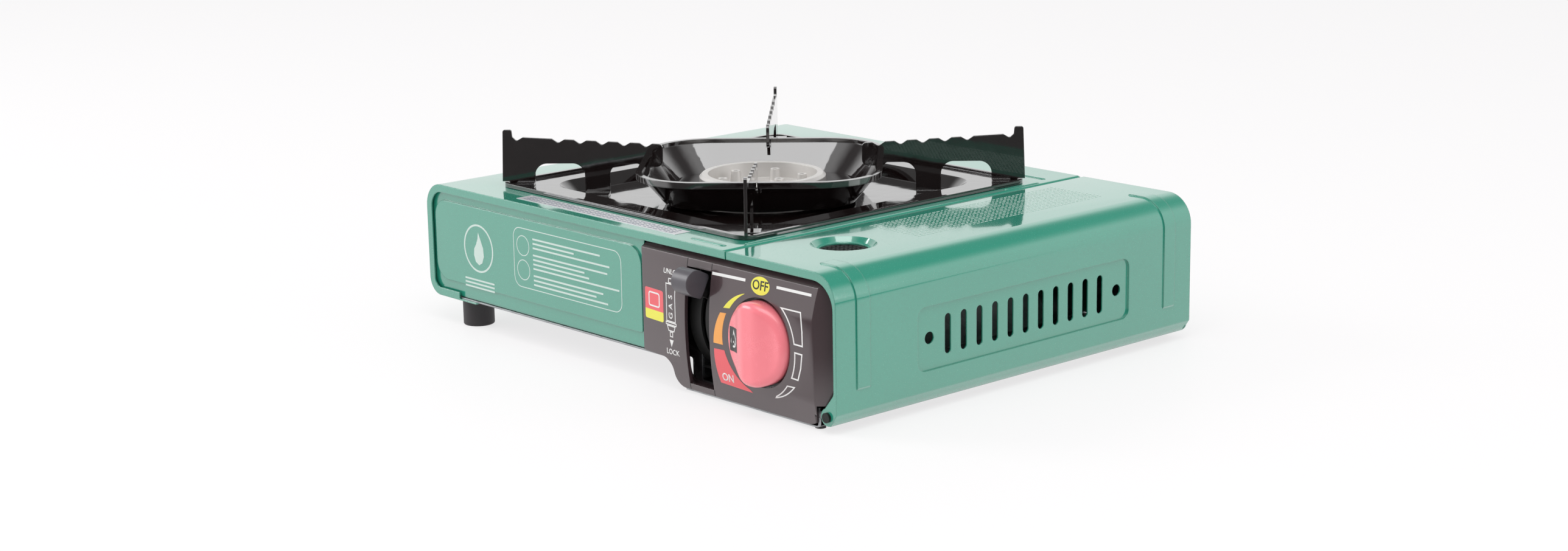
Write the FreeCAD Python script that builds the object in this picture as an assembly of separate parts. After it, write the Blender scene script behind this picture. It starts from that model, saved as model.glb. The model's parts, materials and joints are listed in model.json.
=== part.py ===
import FreeCAD, Part
import math
import os

os.makedirs("parts", exist_ok=True)
V = FreeCAD.Vector

# The frame: X runs right along the control front, Y runs back, Z runs up from the table.
# All sizes are millimetres. The lever stands out furthest in front of the body.

# Overall body
body_width = 345.0
body_top = 81.2
lever_overhang = 14.0
sheet = 0.8
touch_gap = 0.3
running_gap = 0.05

# Body shell, its rolled corners and hems
shell_top_radius = 14.0
shell_bottom_radius = 10.0
floor_height = 15.3
shell_return = 44.5
hem_return = 28.5
hem_depth = 4.5
seam_flange = 9.0

# Gas compartment on the right
lid_width = 81.5
seam_gap = 1.0
lid_corner_radius = 16.0
lid_side_bottom = 10.5
lid_foot_inset = 4.4
lid_foot_height = 4.2
lid_hem = 2.0
hinge_inset = 6.5
hinge_height = 8.6
hinge_pin_radius = 1.6
hinge_head_radius = 2.6
hinge_head_length = 1.4
hinge_pin_length = 3.0
hinge_lobe_radius = 4.6
hinge_ear_radius = 3.0
vent_count = 11
vent_pitch = 11.58
vent_slot_width = 4.4
vent_slot_height = 21.0
vent_hole_radius = 3.2
vent_hole_step = 13.4
vent_centre_height = 37.9
vent_centre_back = 137.1
vent_panel_margin = 10.0
vent_panel_height = 35.0
vent_panel_depth = 1.2
vent_panel_radius = 6.0
dish_from_front = 53.6
dish_from_side = 50.5
dish_outer_radius = 17.2
dish_inner_radius = 12.6
dish_depth = 2.6
rib_height = 0.7
rib_width = 9.0
rib_end_inset = 14.0
rib_foot_height = 20.0
rib_top_inset = 25.0
mesh_pitch = 3.0
mesh_bar = 0.8

# Floor pan: left floor, step, low well under the canister
well_height = 1.4
well_step_inset = 120.5
well_side_inset = 13.5
well_flange = 10.5
pan_bend = 1.5

# Front and back plates
plate_bottom = 17.3
plate_emboss = 1.0
emboss_margin = 6.5
emboss_radius = 10.0

# Feet
foot_radius = 9.0
foot_from_left = 30.7
foot_from_edge = 11.6
foot_screw_radius = 1.5
foot_screw_length = 9.0
foot_screw_head_radius = 3.0
foot_screw_head_height = 1.6
pad_radius = 2.8
pad_from_side = 18.0
pad_front_inset = 6.0
pad_back_inset = 22.0

# Control panel
panel_left_inset = 148.5
panel_right_gap = 5.7
panel_top_gap = 5.0
panel_bottom = 2.6
panel_depth = 10.0
panel_wall = 2.0
panel_bevel_height = 3.2
panel_bevel_depth = 4.0
panel_bulge = 3.2
panel_bevel_width = 9.8
panel_bevel_drop = 6.0
panel_notch_left = 25.0
panel_notch_radius = 8.0
panel_corner_radius = 15.5
panel_top_radius = 12.0
panel_screw_radius = 1.4
panel_screw_head_radius = 2.6
panel_screw_length = 9.0

# Lever and its slot
slot_width = 19.3
slot_left_inset = 37.9
slot_bottom = 6.0
slot_height = 62.8
lever_pivot_setback = 36.0
lever_pivot_height = 41.0
lever_half_swing = 27.0
lever_grip_width = 12.0
lever_grip_radius = 6.75
lever_grip_inner = 41.5
lever_plate = 2.4
lever_arm_width = 9.0
lever_hub_radius = 8.0
lever_pin_radius = 2.0
lever_pin_end = 3.0
lever_crank = 10.0
guard_radius = 34.0
guard_wall = 1.5
guard_lap = 2.0
guard_half_angle = 58.0

# Canister and its cradle. The canister is not part of the stove, but it sizes the compartment.
canister_radius = 34.0
canister_length = 176.0
canister_from_side = 42.5
canister_height = 39.0
canister_from_front = 60.0
canister_end_room = 33.0
rail_width_angle = 36.0
rail_middle_angle = 46.0
rail_length = 150.0
key_notch_radius = 15.0
slide_gap = 0.5
slide_plate = 1.0
slide_width = 22.0
slide_tab_height = 26.0
slide_slot_play = 0.2

# Regulator and knob
knob_from_side = 53.0
knob_height = 38.5
knob_radius = 21.75
knob_gap = 1.4
knob_edge = 2.5
knob_ridge = 8.0
knob_ridge_half = 3.0
knob_seat_depth = 6.0
knob_floor = 1.6
spindle_radius = 3.5
regulator_width = 34.0
regulator_height = 30.0
regulator_from_front = 14.0
regulator_length = 26.0
regulator_cap_radius = 14.0
regulator_cap_height = 5.0
socket_radius = 8.0
socket_bore = 3.4
socket_length = 9.0
outlet_radius = 4.5
pipe_radius = 2.6
cam_radius = 12.0
cam_lift = 4.4
cam_thickness = 3.0
cam_gap = 0.4
knob_turn = 110.0
plunger_radius = 2.0
plunger_length = 20.0
igniter_size = 12.0
igniter_depth = 5.2
igniter_length = 15.0

# Burner
burner_radius = 36.0
burner_wall = 5.0
burner_top = 88.2
burner_head_bottom = 73.4
burner_floor = 79.5
burner_port_count = 48
burner_port_width = 0.9
burner_port_depth = 1.2
burner_post_count = 6
burner_post_circle = 23.0
burner_post_radius = 2.6
inner_post_count = 3
inner_post_circle = 9.5
inner_post_lower = 2.0
burner_post_taper = 0.8
burner_post_drop = 2.0
burner_cup_radius = 31.0
cup_below_tube = 10.0
burner_cup_wall = 2.4
burner_flange_radius = 38.5
burner_flange_height = 3.0
burner_tooth_count = 60
burner_tooth_depth = 1.2
tube_radius = 9.0
tube_wall = 0.8
tube_below_head = 14.4
tube_angle = -35.0
tube_mouth = 84.0
tube_flare = 3.0
shutter_length = 16.0
jet_radius = 2.4
jet_length = 8.0
jet_holder_radius = 4.0
jet_holder_length = 16.0
bracket_width = 30.0
burner_gap = 0.4
electrode_angle = -8.0
electrode_radius = 1.8
electrode_below_tube = 1.0
electrode_top = 81.0
electrode_wire = 0.8
electrode_tip_top = 86.5
lead_radius = 1.2

# Drip tray
tray_side = 213.5
tray_seam_margin = 7.4
tray_front_margin = 20.8
tray_corner_radius = 9.0
tray_sheet = 0.7
tray_lap = 7.5
tray_rim_height = 1.6
tray_rim_width = 2.4
tray_border = 19.0
tray_slope = 6.0
tray_floor_drop = 6.4
tray_pocket_radius = 20.0
tray_hole_lap = 3.5
tray_lip_height = 1.0

# Pan support: wind bowl and four arms
bowl_half_width = 68.5
bowl_lip_width = 3.4
bowl_lip_height = 3.4
bowl_top = 95.8
bowl_corner_radius = 36.0
bowl_foot_half_width = 53.5
bowl_foot_radius = 28.0
bowl_floor_height = 77.2
bowl_wall = 0.9
bowl_hole_gap = 0.5
bowl_leg_inset = 3.0
bowl_leg_width = 10.0
arm_plate = 1.8
arm_slot_gap = 0.2
arm_reach = 148.5
arm_inner_reach = 56.5
arm_post_width = 5.0
arm_post_top = 113.8
arm_seat_inner = 104.9
arm_seat_slope = 0.0564
arm_under = 93.8
arm_inner_under = 91.9
arm_leg_outer = 18.8
arm_leg_middle_outer = 101.2
arm_leg_middle_width = 14.2
arm_window_radius = 7.0
notch_count = 5
notch_pitch = 12.5
notch_from_inner = 9.5
notch_half = 3.6
notch_depth = 2.3
notch_outer = 139.8
arm_foot = 10.0
arm_outer_foot = 7.0

# Places that follow from the sizes
body_depth = canister_from_front + canister_length + canister_end_room
left_x = -(body_width + rib_height) / 2
right_x = left_x + body_width
front_y = (lever_overhang - body_depth - hinge_head_length - running_gap) / 2
back_y = front_y + body_depth
seam_x = right_x - lid_width
lid_left_x = seam_x + seam_gap
hinge_x = right_x - hinge_inset
flange_bottom = body_top - seam_flange - touch_gap
tray_half = tray_side / 2
tray_x = seam_x - tray_seam_margin - tray_half
tray_y = front_y + tray_front_margin + tray_half
tray_top = body_top + touch_gap + tray_sheet
tray_floor_top = tray_top - tray_floor_drop
panel_left = right_x - panel_left_inset
panel_right = right_x - panel_right_gap
panel_top = body_top - panel_top_gap
left_floor = floor_height + sheet
step_x = right_x - well_step_inset
well_right = right_x - well_side_inset
well_floor = well_height + sheet
knob_x = right_x - knob_from_side
canister_x = right_x - canister_from_side
canister_y = front_y + canister_from_front
pivot_y = front_y + lever_pivot_setback
slot_left = panel_left + slot_left_inset
slot_middle = slot_left + slot_width / 2
lever_x = slot_middle - 1.0
partition_right = seam_x - sheet - touch_gap
partition_left = partition_right - sheet
slide_x = lever_x + lever_plate / 2 + touch_gap + sheet
electrode_circle = burner_flange_radius + burner_gap + electrode_radius
bowl_hole_radius = electrode_circle + electrode_radius + bowl_hole_gap
tray_hole_radius = bowl_hole_radius + tray_hole_lap
tube_height = burner_head_bottom - tube_below_head
burner_cup_bottom = tube_height - cup_below_tube
electrode_bottom = tube_height - electrode_below_tube
notch_first = arm_inner_reach + notch_from_inner
slide_travel = 2 * lever_crank * math.sin(math.radians(lever_half_swing))


def rounded_wire(corners, place):
    """Closed outline through (u, v, radius) corners, with a tangent arc at each rounded corner."""
    count = len(corners)
    stations = []
    for index in range(count):
        u, v, radius = corners[index]
        before = corners[index - 1]
        after = corners[(index + 1) % count]
        into = V(u - before[0], v - before[1], 0).normalize()
        out = V(after[0] - u, after[1] - v, 0).normalize()
        corner = V(u, v, 0)
        turn = into.getAngle(out)
        if radius <= 0 or turn < 0.001:
            stations.append([corner])
            continue
        reach = radius * math.tan(turn / 2)
        bisector = (out - into).normalize()
        centre = corner + bisector * (radius / math.cos(turn / 2))
        stations.append([corner - into * reach, centre - bisector * radius, corner + out * reach])
    edges = []
    for index in range(count):
        points = [place(p.x, p.y) for p in stations[index]]
        if len(points) == 3:
            edges.append(Part.Arc(*points).toShape())
        following = stations[(index + 1) % count][0]
        start = points[-1]
        end = place(following.x, following.y)
        if start.distanceToPoint(end) > 0.0001:
            edges.append(Part.LineSegment(start, end).toShape())
    return Part.Wire(edges)


def plate_xy(corners, bottom, top):
    """Flat plate outlined in X and Y."""
    wire = rounded_wire(corners, lambda u, v: V(u, v, bottom))
    return Part.Face(wire).extrude(V(0, 0, top - bottom))


def plate_xz(corners, front, back):
    """Upright plate outlined in X and Z, facing the front."""
    wire = rounded_wire(corners, lambda u, v: V(u, front, v))
    return Part.Face(wire).extrude(V(0, back - front, 0))


def plate_yz(corners, left, right):
    """Upright plate outlined in Y and Z, facing the side."""
    wire = rounded_wire(corners, lambda u, v: V(left, u, v))
    return Part.Face(wire).extrude(V(right - left, 0, 0))


def block(x0, x1, y0, y1, z0, z1):
    """Box between two corners."""
    return Part.makeBox(x1 - x0, y1 - y0, z1 - z0, V(x0, y0, z0))


def rod(start, end, radius):
    """Round bar between two points."""
    axis = end - start
    return Part.makeCylinder(radius, axis.Length, start, axis)


def cone(start, end, start_radius, end_radius):
    """Tapered round bar between two points."""
    axis = end - start
    return Part.makeCone(start_radius, end_radius, axis.Length, start, axis)


def strip(path, thickness):
    """Outline of bent sheet: the path is its outer face and the metal lies to its left."""
    inner = []
    count = len(path)
    for index in range(count):
        u, v, radius = path[index]
        here = V(u, v, 0)
        normals = []
        if index > 0:
            along = (here - V(path[index - 1][0], path[index - 1][1], 0)).normalize()
            normals.append(V(-along.y, along.x, 0))
        if index < count - 1:
            along = (V(path[index + 1][0], path[index + 1][1], 0) - here).normalize()
            normals.append(V(-along.y, along.x, 0))
        if len(normals) == 1:
            moved = here + normals[0] * thickness
            inner.append((moved.x, moved.y, 0))
            continue
        middle = (normals[0] + normals[1]).normalize()
        moved = here + middle * (thickness / middle.dot(normals[0]))
        left_turn = normals[0].x * normals[1].y - normals[0].y * normals[1].x > 0
        change = -thickness if left_turn else thickness
        inner.append((moved.x, moved.y, max(radius + change, 0) if radius > 0 else 0))
    return list(path) + inner[::-1]


def square_corners(centre_x, centre_y, half, radius, turn=0.0):
    """Corners of a rounded square, turned about its centre by an angle in degrees."""
    corners = []
    for quarter in range(4):
        angle = math.radians(45 + 90 * quarter + turn)
        reach = half * math.sqrt(2)
        corners.append((centre_x + reach * math.cos(angle), centre_y + reach * math.sin(angle), radius))
    return corners


def square_wire(centre_x, centre_y, half, radius, height, turn=0.0):
    """Rounded square wire at one height."""
    corners = square_corners(centre_x, centre_y, half, radius, turn)
    return rounded_wire(corners, lambda u, v: V(u, v, height))


def fused(shapes):
    """One solid from overlapping or touching shapes."""
    return shapes[0].multiFuse(shapes[1:]).removeSplitter()


def screw(head, axis, head_radius, head_height, shank_radius, shank_length):
    """Pan-head screw: the head stands on the given point, the shank runs along the axis."""
    direction = V(axis).normalize()
    top = rod(head, head - direction * head_height, head_radius)
    shank = rod(head - direction * (head_height / 2), head + direction * shank_length, shank_radius)
    return fused([top, shank])


def turned(shape, angle, centre, axis):
    """Copy of a shape turned about an axis through a point."""
    copy = shape.copy()
    copy.rotate(centre, axis, angle)
    return copy


def bent_bar(points, radius):
    """Round bar along straight runs joined by the largest tangent arcs that fit."""
    edges = []
    start = points[0]
    for index in range(1, len(points) - 1):
        corner = points[index]
        into = corner - points[index - 1]
        out = points[index + 1] - corner
        turn = into.getAngle(out)
        reach = 0.45 * min(into.Length, out.Length)
        bend = reach / math.tan(turn / 2)
        into.normalize()
        out.normalize()
        bisector = (out - into).normalize()
        centre = corner + bisector * (bend / math.cos(turn / 2))
        first = corner - into * reach
        last = corner + out * reach
        edges.append(Part.LineSegment(start, first).toShape())
        edges.append(Part.Arc(first, centre - bisector * bend, last).toShape())
        start = last
    edges.append(Part.LineSegment(start, points[-1]).toShape())
    path = Part.Wire(edges)
    begin = (points[1] - points[0]).normalize()
    profile = Part.Wire([Part.makeCircle(radius, points[0], begin)])
    bar = path.makePipeShell([profile], True, True)
    return bar, path.Length


def save(shape, name):
    """Write one node."""
    solid = shape
    if len(shape.Solids) == 1:
        solid = shape.Solids[0]
    volumes = [s.Volume for s in shape.Solids]
    print(name, len(volumes), round(sum(volumes)), shape.isValid())
    solid.exportStep("parts/" + name + ".step")


def save_group(shapes, name):
    """Write several separate solids as one node."""
    save(Part.makeCompound(shapes), name)


def inset_profile(inset, y0, y1):
    """Solid of the shell's full section, drawn in by an inset on every side but the seam."""
    top_radius = max(shell_top_radius - inset, 0.5)
    bottom_radius = max(shell_bottom_radius - inset, 0.5)
    corners = [
        (left_x + inset, floor_height + inset, bottom_radius),
        (seam_x, floor_height + inset, 0),
        (seam_x, body_top - inset, 0),
        (left_x + inset, body_top - inset, top_radius),
    ]
    return plate_xz(corners, y0, y1)


def body_shell():
    """Painted sheet: top with the tray opening, rolled left side, return under the floor, hems."""
    path = [
        (seam_x, body_top - seam_flange, 0),
        (seam_x, body_top, 2.0),
        (left_x, body_top, shell_top_radius),
        (left_x, floor_height, shell_bottom_radius),
        (left_x + shell_return, floor_height, 0),
    ]
    shell = plate_xz(strip(path, sheet), front_y, back_y)
    hem_end = left_x + hem_return
    hems = []
    for y0 in (front_y, back_y - sheet):
        hem = inset_profile(sheet / 2, y0, y0 + sheet)
        hem = hem.cut(inset_profile(hem_depth, y0 - 1, y0 + sheet + 1))
        hem = hem.cut(block(hem_end, seam_x + 1, y0 - 1, y0 + sheet + 1, 0, floor_height + hem_depth + 1))
        hems.append(hem)
    shell = fused([shell] + hems)
    opening = plate_xy(square_corners(tray_x, tray_y, tray_half - tray_lap, tray_corner_radius), 0, body_top + 1)
    above_floor = block(left_x, right_x, front_y, back_y, body_top - shell_top_radius / 2, body_top + 1)
    shell = shell.cut(opening.common(above_floor))
    for centre in foot_centres():
        shell = shell.cut(rod(centre, centre + V(0, 0, 30), foot_screw_radius + running_gap))
    return shell.cut(flange_notch())


def flange_notch():
    """Space in front of the two seam flanges, which stop behind the control panel."""
    end = front_y + panel_depth + sheet + touch_gap
    return block(seam_x - 3.0, lid_left_x + 3.0, front_y - 1, end, flange_bottom - 1, body_top - hem_depth)


def floor_pan():
    """Floor sheet: left floor, step down, low canister well and its side flange."""
    path = [
        (left_x + shell_bottom_radius + 1.0, left_floor, 0),
        (step_x, left_floor, pan_bend),
        (step_x, well_height, pan_bend + sheet),
        (well_right, well_height, pan_bend + sheet),
        (well_right, well_height + well_flange, 0),
    ]
    inner = front_y + sheet + touch_gap
    pan = plate_xz(strip(path, sheet), inner, back_y - sheet - touch_gap)
    ears = [hinge_ear(inner), hinge_ear(back_y - sheet - touch_gap - sheet)]
    pan = fused([pan] + ears)
    notch_left = panel_left + panel_notch_left - panel_notch_radius - 1.0
    pan = pan.cut(block(notch_left, step_x + sheet + 4.0, front_y - 1, front_y + panel_depth, 0, 30))
    ear_end = inner + sheet + touch_gap
    pan = pan.cut(block(well_right - 3.0, well_right + 1, ear_end, front_y + panel_depth, well_floor, 30))
    for centre in hinge_centres():
        pan = pan.cut(rod(centre - V(0, 9, 0), centre + V(0, 9, 0), hinge_pin_radius + running_gap))
    for centre in foot_centres():
        pan = pan.cut(rod(V(centre.x, centre.y, 0), V(centre.x, centre.y, 30), foot_screw_radius + running_gap))
    return pan


def hinge_centres():
    """Front and back hinge pin centres, on the lid's axis."""
    return [V(hinge_x, front_y + sheet, hinge_height), V(hinge_x, back_y - sheet, hinge_height)]


def hinge_ear(y0):
    """Upright ear of the floor pan that carries a hinge pin."""
    disc = Part.makeCylinder(hinge_ear_radius, sheet, V(hinge_x, y0, hinge_height), V(0, 1, 0))
    half = hinge_ear_radius * 0.6
    neck = block(well_right - sheet / 2, hinge_x, y0, y0 + sheet, hinge_height - half, hinge_height + half)
    return fused([disc, neck])


def hinge_pin(centre, outward):
    """Headed pin through the lid's end and the pan's ear."""
    out = V(0, outward, 0)
    face = centre + out * (sheet + running_gap)
    head = rod(face, face + out * hinge_head_length, hinge_head_radius)
    shank = rod(face, face - out * hinge_pin_length, hinge_pin_radius)
    return fused([head, shank])


def hinge_pins():
    """The lid's two hinge pins."""
    front, back = hinge_centres()
    return [hinge_pin(front, -1), hinge_pin(back, 1)]


def emboss_plate(corners, field, front, lift):
    """Sheet plate with a field pressed towards -Y by the lift."""
    plate = plate_xz(corners, front, front + sheet)
    pad = plate_xz(field, front - lift, front)
    hollow = [(u, v, r) for u, v, r in field]
    centre_u = sum(c[0] for c in field) / len(field)
    centre_v = sum(c[1] for c in field) / len(field)
    drawn = []
    for u, v, radius in hollow:
        du = sheet if u < centre_u else -sheet
        dv = sheet if v < centre_v else -sheet
        drawn.append((u + du, v + dv, max(radius - sheet, 0.5)))
    pocket = plate_xz(drawn, front + sheet - lift, front + sheet)
    return plate.fuse(pad).cut(pocket)


def front_plate():
    """Left front plate, set inside the shell's hem, with its large raised field."""
    inset = sheet + touch_gap
    low = left_floor + sheet + touch_gap
    right = panel_left - touch_gap
    corners = [
        (left_x + inset, low, shell_bottom_radius - inset),
        (right, low, 1.5),
        (right, body_top - inset, 1.5),
        (left_x + inset, body_top - inset, shell_top_radius - inset),
    ]
    edge = hem_depth + emboss_margin - sheet
    field = [
        (left_x + hem_depth + 2.0, low + edge - 2.0, emboss_radius),
        (right - 2.0, low + edge - 2.0, 2.0),
        (right - 2.0, body_top - edge + 1.0, emboss_radius),
        (left_x + hem_depth + 2.0, body_top - edge + 1.0, emboss_radius),
    ]
    return emboss_plate(corners, field, front_y + sheet + touch_gap + plate_emboss, plate_emboss)


def back_plate():
    """Back wall of the body and of the canister compartment, with a raised field."""
    inset = sheet + touch_gap
    right = well_right - sheet - touch_gap
    low = left_floor + sheet + touch_gap
    step = step_x + sheet + touch_gap
    corners = [
        (left_x + inset, low, shell_bottom_radius - inset),
        (step, low, 0),
        (step, well_floor + touch_gap, 0),
        (right, well_floor + touch_gap, 2.0),
        (right, hinge_height + hinge_lobe_radius, 0),
        (panel_right, hinge_height + hinge_lobe_radius, 0),
        (panel_right, flange_bottom, lid_corner_radius),
        (seam_x - sheet - touch_gap, flange_bottom, 0),
        (seam_x - sheet - touch_gap, body_top - inset, 0),
        (left_x + inset, body_top - inset, shell_top_radius - inset),
    ]
    front = back_y - sheet - touch_gap - sheet - touch_gap
    plate = plate_xz(corners, front, front + sheet)
    field_right = seam_x - emboss_margin - hem_depth
    field = [
        (left_x + hem_depth + emboss_margin, low + emboss_margin, emboss_radius),
        (field_right, low + emboss_margin, emboss_radius),
        (field_right, body_top - hem_depth - emboss_margin, emboss_radius),
        (left_x + hem_depth + emboss_margin, body_top - hem_depth - emboss_margin, emboss_radius),
    ]
    pocket = plate_xz(field, front, front + sheet / 2)
    return plate.cut(pocket)


def partition():
    """Upright wall and heat shield between the burner space and the canister compartment."""
    y0 = front_y + canister_from_front - 30.0
    y1 = back_y - 4 * sheet - touch_gap
    floor = well_floor
    wall = block(partition_left, partition_right, y0, y1, floor, body_top - pan_bend - sheet)
    foot = block(partition_left, partition_right + 8.0, y0, y1, floor, floor + sheet)
    wall = fused([wall, foot])
    reach = slide_width + 12.0
    passage = block(partition_left - 1, partition_right + 9, pivot_y - reach, pivot_y + reach, 0, floor + 4.0)
    wall = wall.cut(passage)
    hole = pipe_points()[2] + (pipe_points()[3] - pipe_points()[2]) * 0.52
    wall = wall.cut(rod(V(partition_left - 2, hole.y, hole.z), V(partition_right + 2, hole.y, hole.z), 6.5))
    grommet = lead_points()[4]
    grommet_end = V(partition_right + 2, grommet.y, grommet.z)
    return wall.cut(rod(V(partition_left - 2, grommet.y, grommet.z), grommet_end, 3.5))


def canister_lid():
    """Hinged cover of the compartment: top, rolled edge, side with vents, tucked foot, end hems."""
    path = [
        (right_x - lid_foot_inset, lid_foot_height, 0),
        (right_x, lid_side_bottom, 2.0),
        (right_x, body_top, lid_corner_radius),
        (lid_left_x, body_top, 2.0),
        (lid_left_x, body_top - seam_flange, 0),
    ]
    lid = plate_xz(strip(path, sheet), front_y, back_y)
    parts = [lid]
    for y0 in (front_y, back_y - sheet):
        parts.append(lid_end(y0))
    parts += lid_ribs()
    lid = fused(parts)
    lid = lid.cut(vent_recess())
    lid = lid.fuse(vent_floor()).cut(fused_tools(vent_tools()))
    dish_x = right_x - dish_from_side
    dish_y = front_y + dish_from_front
    top = V(dish_x, dish_y, body_top)
    bowl = cone(top - V(0, 0, dish_depth), top, dish_inner_radius + 2.5, dish_outer_radius)
    ring = rod(top - V(0, 0, dish_depth + sheet), top, dish_outer_radius + sheet)
    lid = lid.fuse(ring).cut(bowl)
    lid = lid.cut(rod(top - V(0, 0, 9), top + V(0, 0, 1), dish_inner_radius))
    for centre in hinge_centres():
        lid = lid.cut(rod(centre - V(0, 9, 0), centre + V(0, 9, 0), hinge_pin_radius + running_gap))
    return lid.cut(flange_notch()).removeSplitter()


def fused_tools(shapes):
    """Several cutting tools as one."""
    return shapes[0].multiFuse(shapes[1:])


def lid_end(y0):
    """End hem of the lid with its hinge lobe."""
    low = body_top - hem_depth
    inner = right_x - lid_hem
    corners = [
        (right_x - lid_foot_inset, lid_foot_height, 0),
        (right_x - sheet / 2, lid_side_bottom, 2.0),
        (right_x - sheet / 2, body_top - sheet / 2, lid_corner_radius - sheet / 2),
        (lid_left_x + sheet / 2, body_top - sheet / 2, 2.0),
        (lid_left_x + sheet / 2, low, 0),
        (inner, low, lid_corner_radius - lid_hem),
        (inner, hinge_height + 12.0, 4.0),
        (hinge_x - hinge_lobe_radius * 0.5, hinge_height + 3.5, 0),
        (hinge_x - 1.0, lid_foot_height + 0.4, 0),
    ]
    hem = plate_xz(corners, y0, y0 + sheet)
    lobe = Part.makeCylinder(hinge_lobe_radius, sheet, V(hinge_x, y0, hinge_height), V(0, 1, 0))
    return hem.fuse(lobe)


def lid_ribs():
    """Raised bead on the lid: a leg near each end, joined along the top."""
    ribs = []
    x_top = right_x - rib_top_inset
    outer = [
        (right_x + rib_height - 1.4, rib_foot_height, 0),
        (right_x + rib_height, rib_foot_height + 2.0, 0),
        (right_x + rib_height, body_top + rib_height, lid_corner_radius + rib_height),
        (x_top, body_top + rib_height, 0),
        (x_top - 1.4, body_top + rib_height - 1.4, 0),
        (x_top - 1.4, body_top - sheet / 2, 0),
        (right_x - sheet / 2, body_top - sheet / 2, lid_corner_radius - sheet / 2),
        (right_x - sheet / 2, rib_foot_height, 0),
    ]
    for start in (front_y + rib_end_inset, back_y - rib_end_inset - rib_width):
        ribs.append(plate_xz(outer, start, start + rib_width))
    return ribs


def vent_box():
    """Outline of the recessed vent panel in Y and Z."""
    middle = front_y + vent_centre_back
    half = (vent_count - 1) / 2 * vent_pitch + vent_hole_step + vent_panel_margin
    low = vent_centre_height - vent_panel_height / 2
    high = vent_centre_height + vent_panel_height / 2
    return [
        (middle - half, low, vent_panel_radius),
        (middle + half, low, vent_panel_radius),
        (middle + half, high, vent_panel_radius),
        (middle - half, high, vent_panel_radius),
    ]


def vent_recess():
    """Space cut away where the vent panel is pressed in."""
    return plate_yz(vent_box(), right_x - sheet - 0.1, right_x + 1)


def vent_floor():
    """Pressed-in sheet of the vent panel with its raised rim."""
    outer = plate_yz(vent_box(), right_x - vent_panel_depth - sheet, right_x)
    middle = front_y + vent_centre_back
    inner_corners = []
    for u, v, radius in vent_box():
        du = sheet if u < middle else -sheet
        dv = sheet if v < vent_centre_height else -sheet
        inner_corners.append((u + du, v + dv, radius - sheet))
    return outer.cut(plate_yz(inner_corners, right_x - vent_panel_depth, right_x + 1))


def vent_tools():
    """Cutters for the row of vent slots and the round hole at each end."""
    tools = []
    middle = front_y + vent_centre_back
    half_width = vent_slot_width / 2
    half_height = vent_slot_height / 2
    for index in range(vent_count):
        y = middle + (index - (vent_count - 1) / 2) * vent_pitch
        corners = [
            (y - half_width, vent_centre_height - half_height, half_width * 0.99),
            (y + half_width, vent_centre_height - half_height, half_width * 0.99),
            (y + half_width, vent_centre_height + half_height, half_width * 0.99),
            (y - half_width, vent_centre_height + half_height, half_width * 0.99),
        ]
        tools.append(plate_yz(corners, right_x - 6, right_x + 2))
    reach = (vent_count - 1) / 2 * vent_pitch + vent_hole_step
    for y in (middle - reach, middle + reach):
        tools.append(rod(V(right_x - 6, y, vent_centre_height), V(right_x + 2, y, vent_centre_height), vent_hole_radius))
    return tools


def lid_screen():
    """Perforated screen fixed under the dished hole of the lid."""
    centre = V(right_x - dish_from_side, front_y + dish_from_front, body_top - dish_depth - sheet)
    disc = rod(centre - V(0, 0, sheet), centre, dish_outer_radius)
    count = int(dish_inner_radius // mesh_pitch)
    holes = []
    for row in range(-count, count + 1):
        for column in range(-count, count + 1):
            x = centre.x + column * mesh_pitch
            y = centre.y + row * mesh_pitch
            if math.hypot(x - centre.x, y - centre.y) > dish_inner_radius - mesh_pitch / 2:
                continue
            half = (mesh_pitch - mesh_bar) / 2
            holes.append(block(x - half, x + half, y - half, y + half, centre.z - 2, centre.z + 1))
    return disc.cut(Part.makeCompound(holes))


def feet():
    """Two round rubber feet under the left floor."""
    solids = []
    for centre in foot_centres():
        foot = rod(V(centre.x, centre.y, 0), V(centre.x, centre.y, floor_height), foot_radius)
        foot = foot.makeFillet(1.0, [foot.Edges[index] for index in rim_edges(foot, 0)])
        bore = rod(V(centre.x, centre.y, -1), V(centre.x, centre.y, 99), foot_screw_radius + running_gap)
        recess = rod(V(centre.x, centre.y, -1), V(centre.x, centre.y, 3), foot_screw_head_radius + 0.6)
        solids.append(foot.cut(bore).cut(recess))
    return solids


def rim_edges(shape, height):
    """Numbers of the closed edges that lie at one height."""
    found = []
    for index, edge in enumerate(shape.Edges):
        bounds = edge.BoundBox
        if abs(bounds.ZMin - height) < 0.001 and abs(bounds.ZMax - height) < 0.001:
            found.append(index)
    return found


def foot_centres():
    """Plan centres of the two left feet."""
    x = left_x + foot_from_left
    return [V(x, front_y + foot_from_edge, 0), V(x, back_y - foot_from_edge, 0)]


def foot_screws():
    """Screws that hold the feet, heads up inside the body."""
    solids = []
    for centre in foot_centres():
        head = V(centre.x, centre.y, left_floor + sheet)
        solids.append(screw(head, V(0, 0, -1), foot_screw_head_radius, foot_screw_head_height,
                            foot_screw_radius, foot_screw_length))
    return solids


def pads():
    """Two small pads under the canister well."""
    solids = []
    x = right_x - pad_from_side
    for y in (front_y + pad_front_inset, back_y - pad_back_inset):
        solids.append(rod(V(x, y, 0), V(x, y, well_height), pad_radius))
    return solids


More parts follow.
